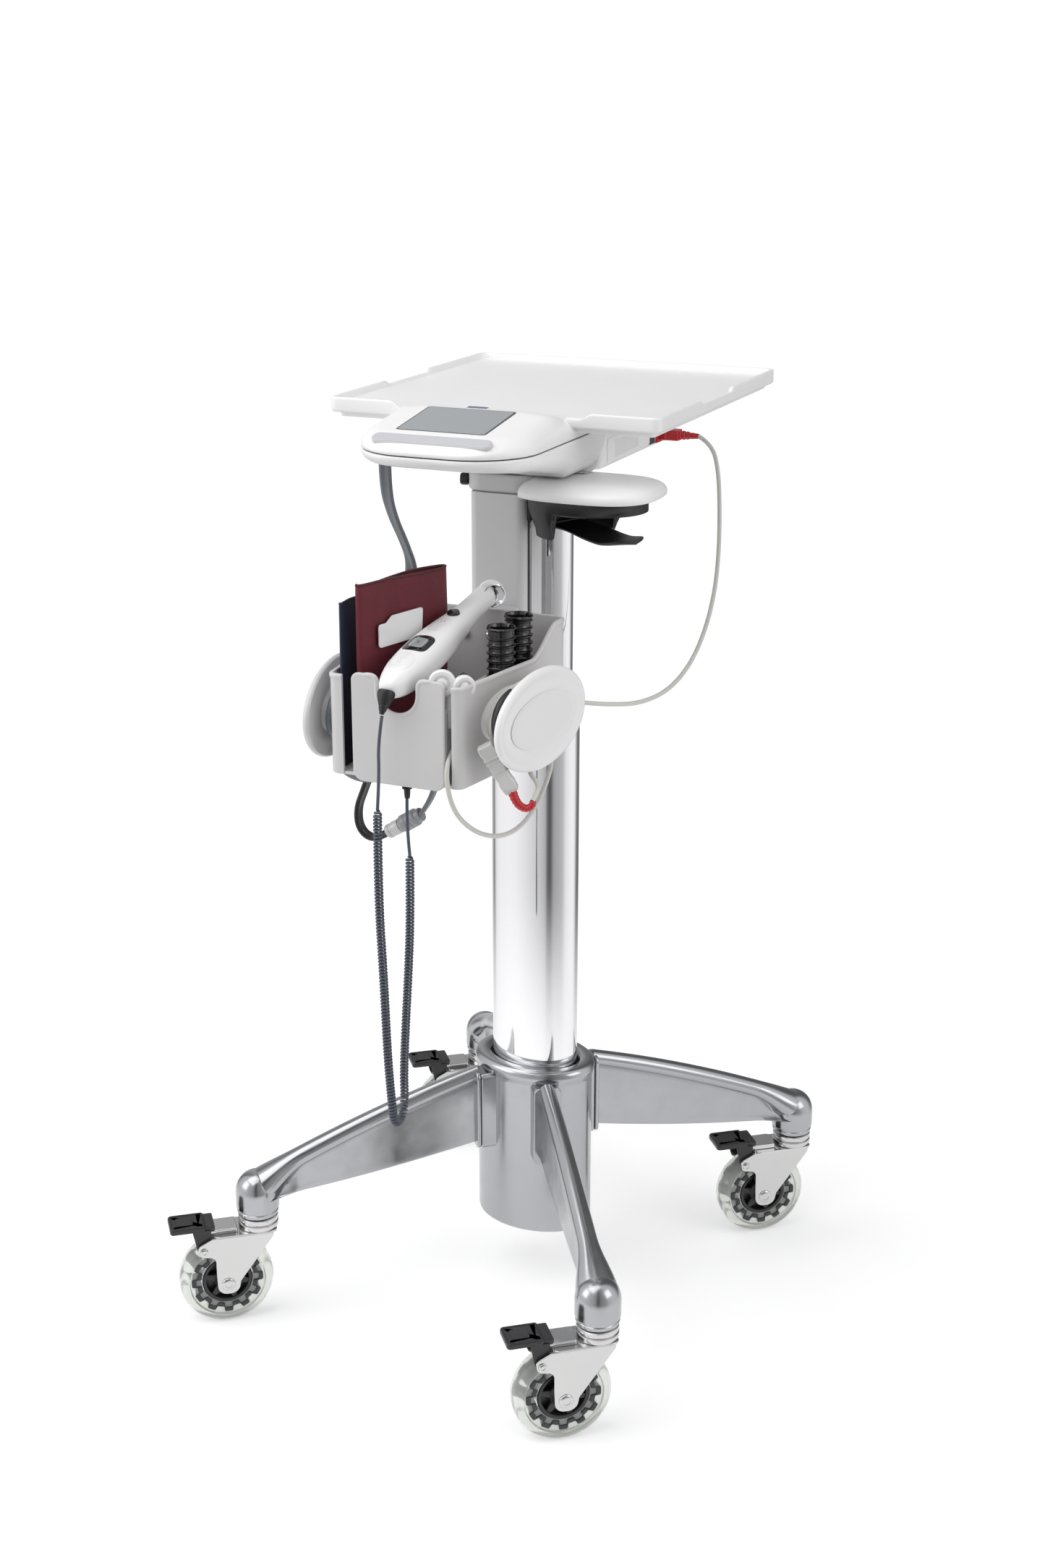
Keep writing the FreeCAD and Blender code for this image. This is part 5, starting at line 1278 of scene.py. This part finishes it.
def fittings():
    """Hose coupling, gland, plug and clip connector on the cords."""
    p, q = np.array([-8.0, -255, 619]), np.array([-42.0, -255, 597])
    reach = float(np.linalg.norm(q - p))
    barrel = lathe([(0, -1), (6.4, -1), (6.8, 0), (6.8, 4), (8.3, 5), (8.5, 6), (8.5, 9), (7.9, 10),
                    (8.5, 11), (8.5, 14), (7.9, 15), (8.5, 16), (8.5, 21), (7.6, 22.4), (0, 22.4)], 44)
    sleeve = lathe([(0, 22), (5.6, 22), (5.6, 24.5), (7.0, 25), (7.0, 33), (6.2, 34), (6.2, 36),
                    (6.8, 36.6), (6.8, reach - 1), (6.2, reach), (0, reach)], 44)
    piece("coupling_barrel", "head", FITTING, set_on(barrel, p, (0, 1, 0), q - p),
          covers=("hose_coupling",))
    tail = piece("coupling_tail", "head", CLIP, set_on(sleeve, p, (0, 1, 0), q - p))
    gland = [(0, 647), (2.4, 647), (2.8, 651), (3.0, 656)]
    for k in range(4):
        z = 656.2 + 2.6 * k
        r = 4.6 + 0.55 * k
        gland += [(r, z), (r, z + 1.5), (r - 1.2, z + 1.8), (r - 1.2, z + 2.4)]
    gland += [(7.2, 666.8), (7.2, 670.2), (0, 670.2)]
    gland = piece("lead_gland_ribs", "head", SOFT_BLACK, shift(lathe(gland, 40), -4, -290),
                  covers=("lead_gland",), slot="hose_black")
    y, z = 133.0, 921.0
    grip_line = outline((80, -8.6, 1), (90, -8.6, 1), (92, -7.0, 1), (104, -7.6, 2), (105, 0, 0.01),
                        (104, 7.6, 2), (92, 7.0, 1), (90, 8.6, 1), (80, 8.6, 1))
    shell = shift(slab(grip_line, -5.4, 5.4, 1.6), 0, y, z)
    nose = lathe([(0, 0), (4.8, 0), (5.0, 1.6), (4.1, 2.4), (4.1, 3.4), (4.7, 4.0), (4.5, 6), (3.8, 6.6),
                  (3.8, 7.6), (4.2, 8.2), (3.9, 10.4), (3.2, 11.2), (3.1, 13), (3.4, 13.6), (3.0, 16),
                  (2.6, 20.5), (0, 20.5)], 36)
    nose = set_on(nose, (103.4, y, z), (0, 1, 0), (1, 0, 0))
    plug = piece("lead_plug", "head", RED, shell, nose, covers=("data_plug",))
    top, low_end = np.array([79.0, -303, 712]), np.array([100.0, -288, 667])
    way = low_end - top
    span = float(np.linalg.norm(way))
    body_line = outline((-7.2, 0, 2), (7.2, 0, 2), (7.8, 8, 2), (6.6, 12, 2), (6.6, span - 14, 2),
                        (7.4, span - 10, 2), (6.6, span, 2), (-6.6, span, 2), (-7.4, span - 10, 2),
                        (-6.6, span - 14, 2), (-6.6, 12, 2), (-7.8, 8, 2))
    flat = np.cross(way, (0.35, -0.93, -0.1))
    body = set_on(plate_y(body_line, -4.6, 4.6, 1.8), top, flat, way)
    clip = piece("clip_body", "head", CLIP, body, covers=("sensor_clip",))
    bars = [set_on(block(-7.6, 7.6, -5.2, 5.2, z, z + 1.6, 2, 0.6), top, flat, way) for z in (13, 17, 30)]
    piece("clip_ribs", "head", CLIP, *bars)
    bend = bent([low_end - unit(way) * 2, (102, -287.2, 660), (106, -286.4, 654), (112, -285.4, 651.5),
                 (117, -284.6, 654), (118.5, -284, 659)], 40)
    waist = 4.3 - 1.4 * np.linspace(0, 1, 40) + 0.25 * np.sin(np.arange(40) * 1.9)
    boot = piece("clip_boot", "head", RED, tube(bend, waist, 16, side=(0, 1, 0)), even=False, sharp=80)
    return tail, gland, plug, clip, boot


def cords():
    """Every free cord, with what is on it."""
    tail, gland, plug, clip, boot = fittings()
    twin_cord("hose_down", "cuff_hose", 6.0, HOSE, "hose_grey", ("cuff_hose",), (0, 0.2, 1),
              far_end="object", stiffness="medium", lay="hanging")
    twin_cord("hose_return", "cuff_hose_end", 6.0, HOSE, "hose_grey", (), (0, 1, 0))
    twin_cord("hose_to_coupling", "coupling_hose", 5.5, HOSE, "hose_grey", ("coupling_hose",), (1, 0, 0))
    twin_cord("cuff_tube_pair", "cuff_tubes", 6.0, DARK_HOSE, "hose_black", ("cuff_tubes",), (1, 0, 1),
              far_end="object", stiffness="medium", lay="hanging", with_pieces=[tail])
    plain_cord("lead_down", "thermometer_lead", 1.5, LEAD, "lead_slate", far_end="object",
               stiffness="limp", lay="hanging")
    plain_cord("lead_up", "gland_lead", 1.5, LEAD, "lead_slate", far_end="object", stiffness="limp",
               lay="hanging", with_pieces=[gland])
    curly_cord()
    plain_cord("sensor_lead", "sensor_cable", 2.2, PALE, "lead_white", far_end="object",
               stiffness="medium", lay="hanging", with_pieces=[plug])
    plain_cord("sensor_end", "sensor_tail", 2.2, PALE, "lead_white", far_end="connector",
               stiffness="medium", lay="hanging", with_pieces=[clip, boot])
    plain_cord("sensor_sling", "sensor_loop", 2.2, PALE, "lead_white", far_end="object",
               stiffness="medium", lay="hanging")
    windings()


# ---- stage --------------------------------------------------------------------------------------
def floor_and_backdrop():
    """Pale round floor whose edge fades out into the white surround."""
    data = bpy.data.meshes.new("floor")
    t = np.arange(96) * TAU / 96
    data.from_pydata(np.column_stack([1.5 * np.cos(t), 1.5 * np.sin(t), 0 * t]).tolist(), [],
                     [tuple(range(96))])
    floor = add("floor", data)
    paint = bpy.data.materials.new("pale_floor")
    paint.use_nodes = True
    nodes, link = paint.node_tree.nodes, paint.node_tree.links.new
    shader = nodes["Principled BSDF"]
    put(shader, Base_Color=(0.84, 0.84, 0.84, 1), Roughness=0.6, Specular_IOR_Level=0.15,
        Emission_Color=(1, 1, 1, 1), Emission_Strength=0.36)
    where, reach, fade = (nodes.new("ShaderNode" + kind)
                          for kind in ("TexCoord", "VectorMath", "MapRange"))
    clear, mix = nodes.new("ShaderNodeBsdfTransparent"), nodes.new("ShaderNodeMixShader")
    reach.operation = "LENGTH"
    fade.interpolation_type = "SMOOTHSTEP"
    put(fade, From_Min=0.42, From_Max=1.3)
    link(where.outputs["Object"], reach.inputs[0])
    link(reach.outputs["Value"], fade.inputs["Value"])
    link(fade.outputs["Result"], mix.inputs["Fac"])
    link(shader.outputs[0], mix.inputs[1])
    link(clear.outputs[0], mix.inputs[2])
    link(mix.outputs[0], nodes["Material Output"].inputs["Surface"])
    data.materials.append(paint)


def sky():
    """Studio surround: brightness in upright bands by heading, darkest behind the viewer."""
    world = bpy.data.worlds.new("studio")
    SCENE.world = world
    world.use_nodes = True
    nodes, link = world.node_tree.nodes, world.node_tree.links.new
    nodes.clear()
    out, back, seen = (nodes.new("ShaderNode" + kind)
                       for kind in ("OutputWorld", "Background", "Background"))
    mix, path = nodes.new("ShaderNodeMixShader"), nodes.new("ShaderNodeLightPath")
    where, split = nodes.new("ShaderNodeTexCoord"), nodes.new("ShaderNodeSeparateXYZ")
    link(where.outputs["Generated"], split.inputs[0])
    angle = nodes.new("ShaderNodeMath")
    angle.operation = "ARCTAN2"
    link(split.outputs["Y"], angle.inputs[0])
    link(split.outputs["X"], angle.inputs[1])
    share = nodes.new("ShaderNodeMapRange")
    put(share, From_Min=-math.pi, From_Max=math.pi)
    link(angle.outputs[0], share.inputs["Value"])
    ramp = nodes.new("ShaderNodeValToRGB")
    bands = [(0.0, 0.92), (0.10, 1.0), (0.17, 0.85), (0.24, 0.62), (0.285, 0.50), (0.30, 0.10),
             (0.325, 0.08), (0.345, 0.42), (0.42, 0.46), (0.46, 0.85), (0.555, 1.0), (0.61, 0.90),
             (0.65, 0.22), (0.70, 0.12), (0.80, 0.25), (0.86, 0.75), (0.91, 0.30), (0.935, 0.16),
             (0.96, 0.80), (1.0, 0.92)]
    ramp.color_ramp.interpolation = "B_SPLINE"
    for spot, value in bands[1:-1]:
        ramp.color_ramp.elements.new(spot)
    for element, (spot, value) in zip(ramp.color_ramp.elements, bands):
        element.position, element.color = spot, (value, value, value * 1.01, 1)
    link(share.outputs["Result"], ramp.inputs["Fac"])
    link(ramp.outputs["Color"], back.inputs["Color"])
    put(back, Strength=1.04)
    put(seen, Color=(1, 1, 1, 1), Strength=1.05)
    link(path.outputs["Is Camera Ray"], mix.inputs["Fac"])
    link(back.outputs[0], mix.inputs[1])
    link(seen.outputs[0], mix.inputs[2])
    link(mix.outputs[0], out.inputs["Surface"])


def placed(name, data, spot, way):
    """Lamp or camera at a spot, looking along a direction."""
    made = add(name, data)
    made.location = spot
    made.rotation_mode = "QUATERNION"
    made.rotation_quaternion = Vector(way).to_track_quat("-Z", "Y")
    return made


def lamp(name, spot, aim, size, power):
    """Soft square light."""
    data = bpy.data.lights.new(name, "AREA")
    data.shape, data.size, data.energy = "SQUARE", size, power
    placed(name, data, spot, Vector(aim) - Vector(spot))


def camera():
    """Viewpoint in front and to the right, a little above the tray."""
    data = bpy.data.cameras.new("view")
    data.lens, data.sensor_width = 49.51, 36.0
    data.clip_start, data.clip_end = 0.05, 60.0
    SCENE.camera = placed("view", data, (0.8611, -1.9279, 1.2901), (-0.37563, 0.86964, -0.32035))


for name in ("gas_spring_cylinder", "gas_spring_rod"):
    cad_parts[name].data.materials.clear()
    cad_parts[name].data.materials.append(ZINC)
hub()
legs()
casters()
columns()
spine()
bracket()
tray()
head()
casing()
basket()
discs()
thermometer()
cuffs()
stacks()
clip_caps()
grip()
cords()
floor_and_backdrop()
sky()
lamp("overhead", (-0.5, -0.7, 2.6), (0.0, 0.0, 0.7), 2.2, 22)
lamp("left_front", (-2.0, -1.7, 1.5), (0.0, 0.0, 0.6), 1.6, 12)
lamp("right", (2.3, -0.4, 1.6), (0.0, 0.0, 0.6), 1.4, 9)
camera()
SCENE.view_settings.view_transform = "Standard"
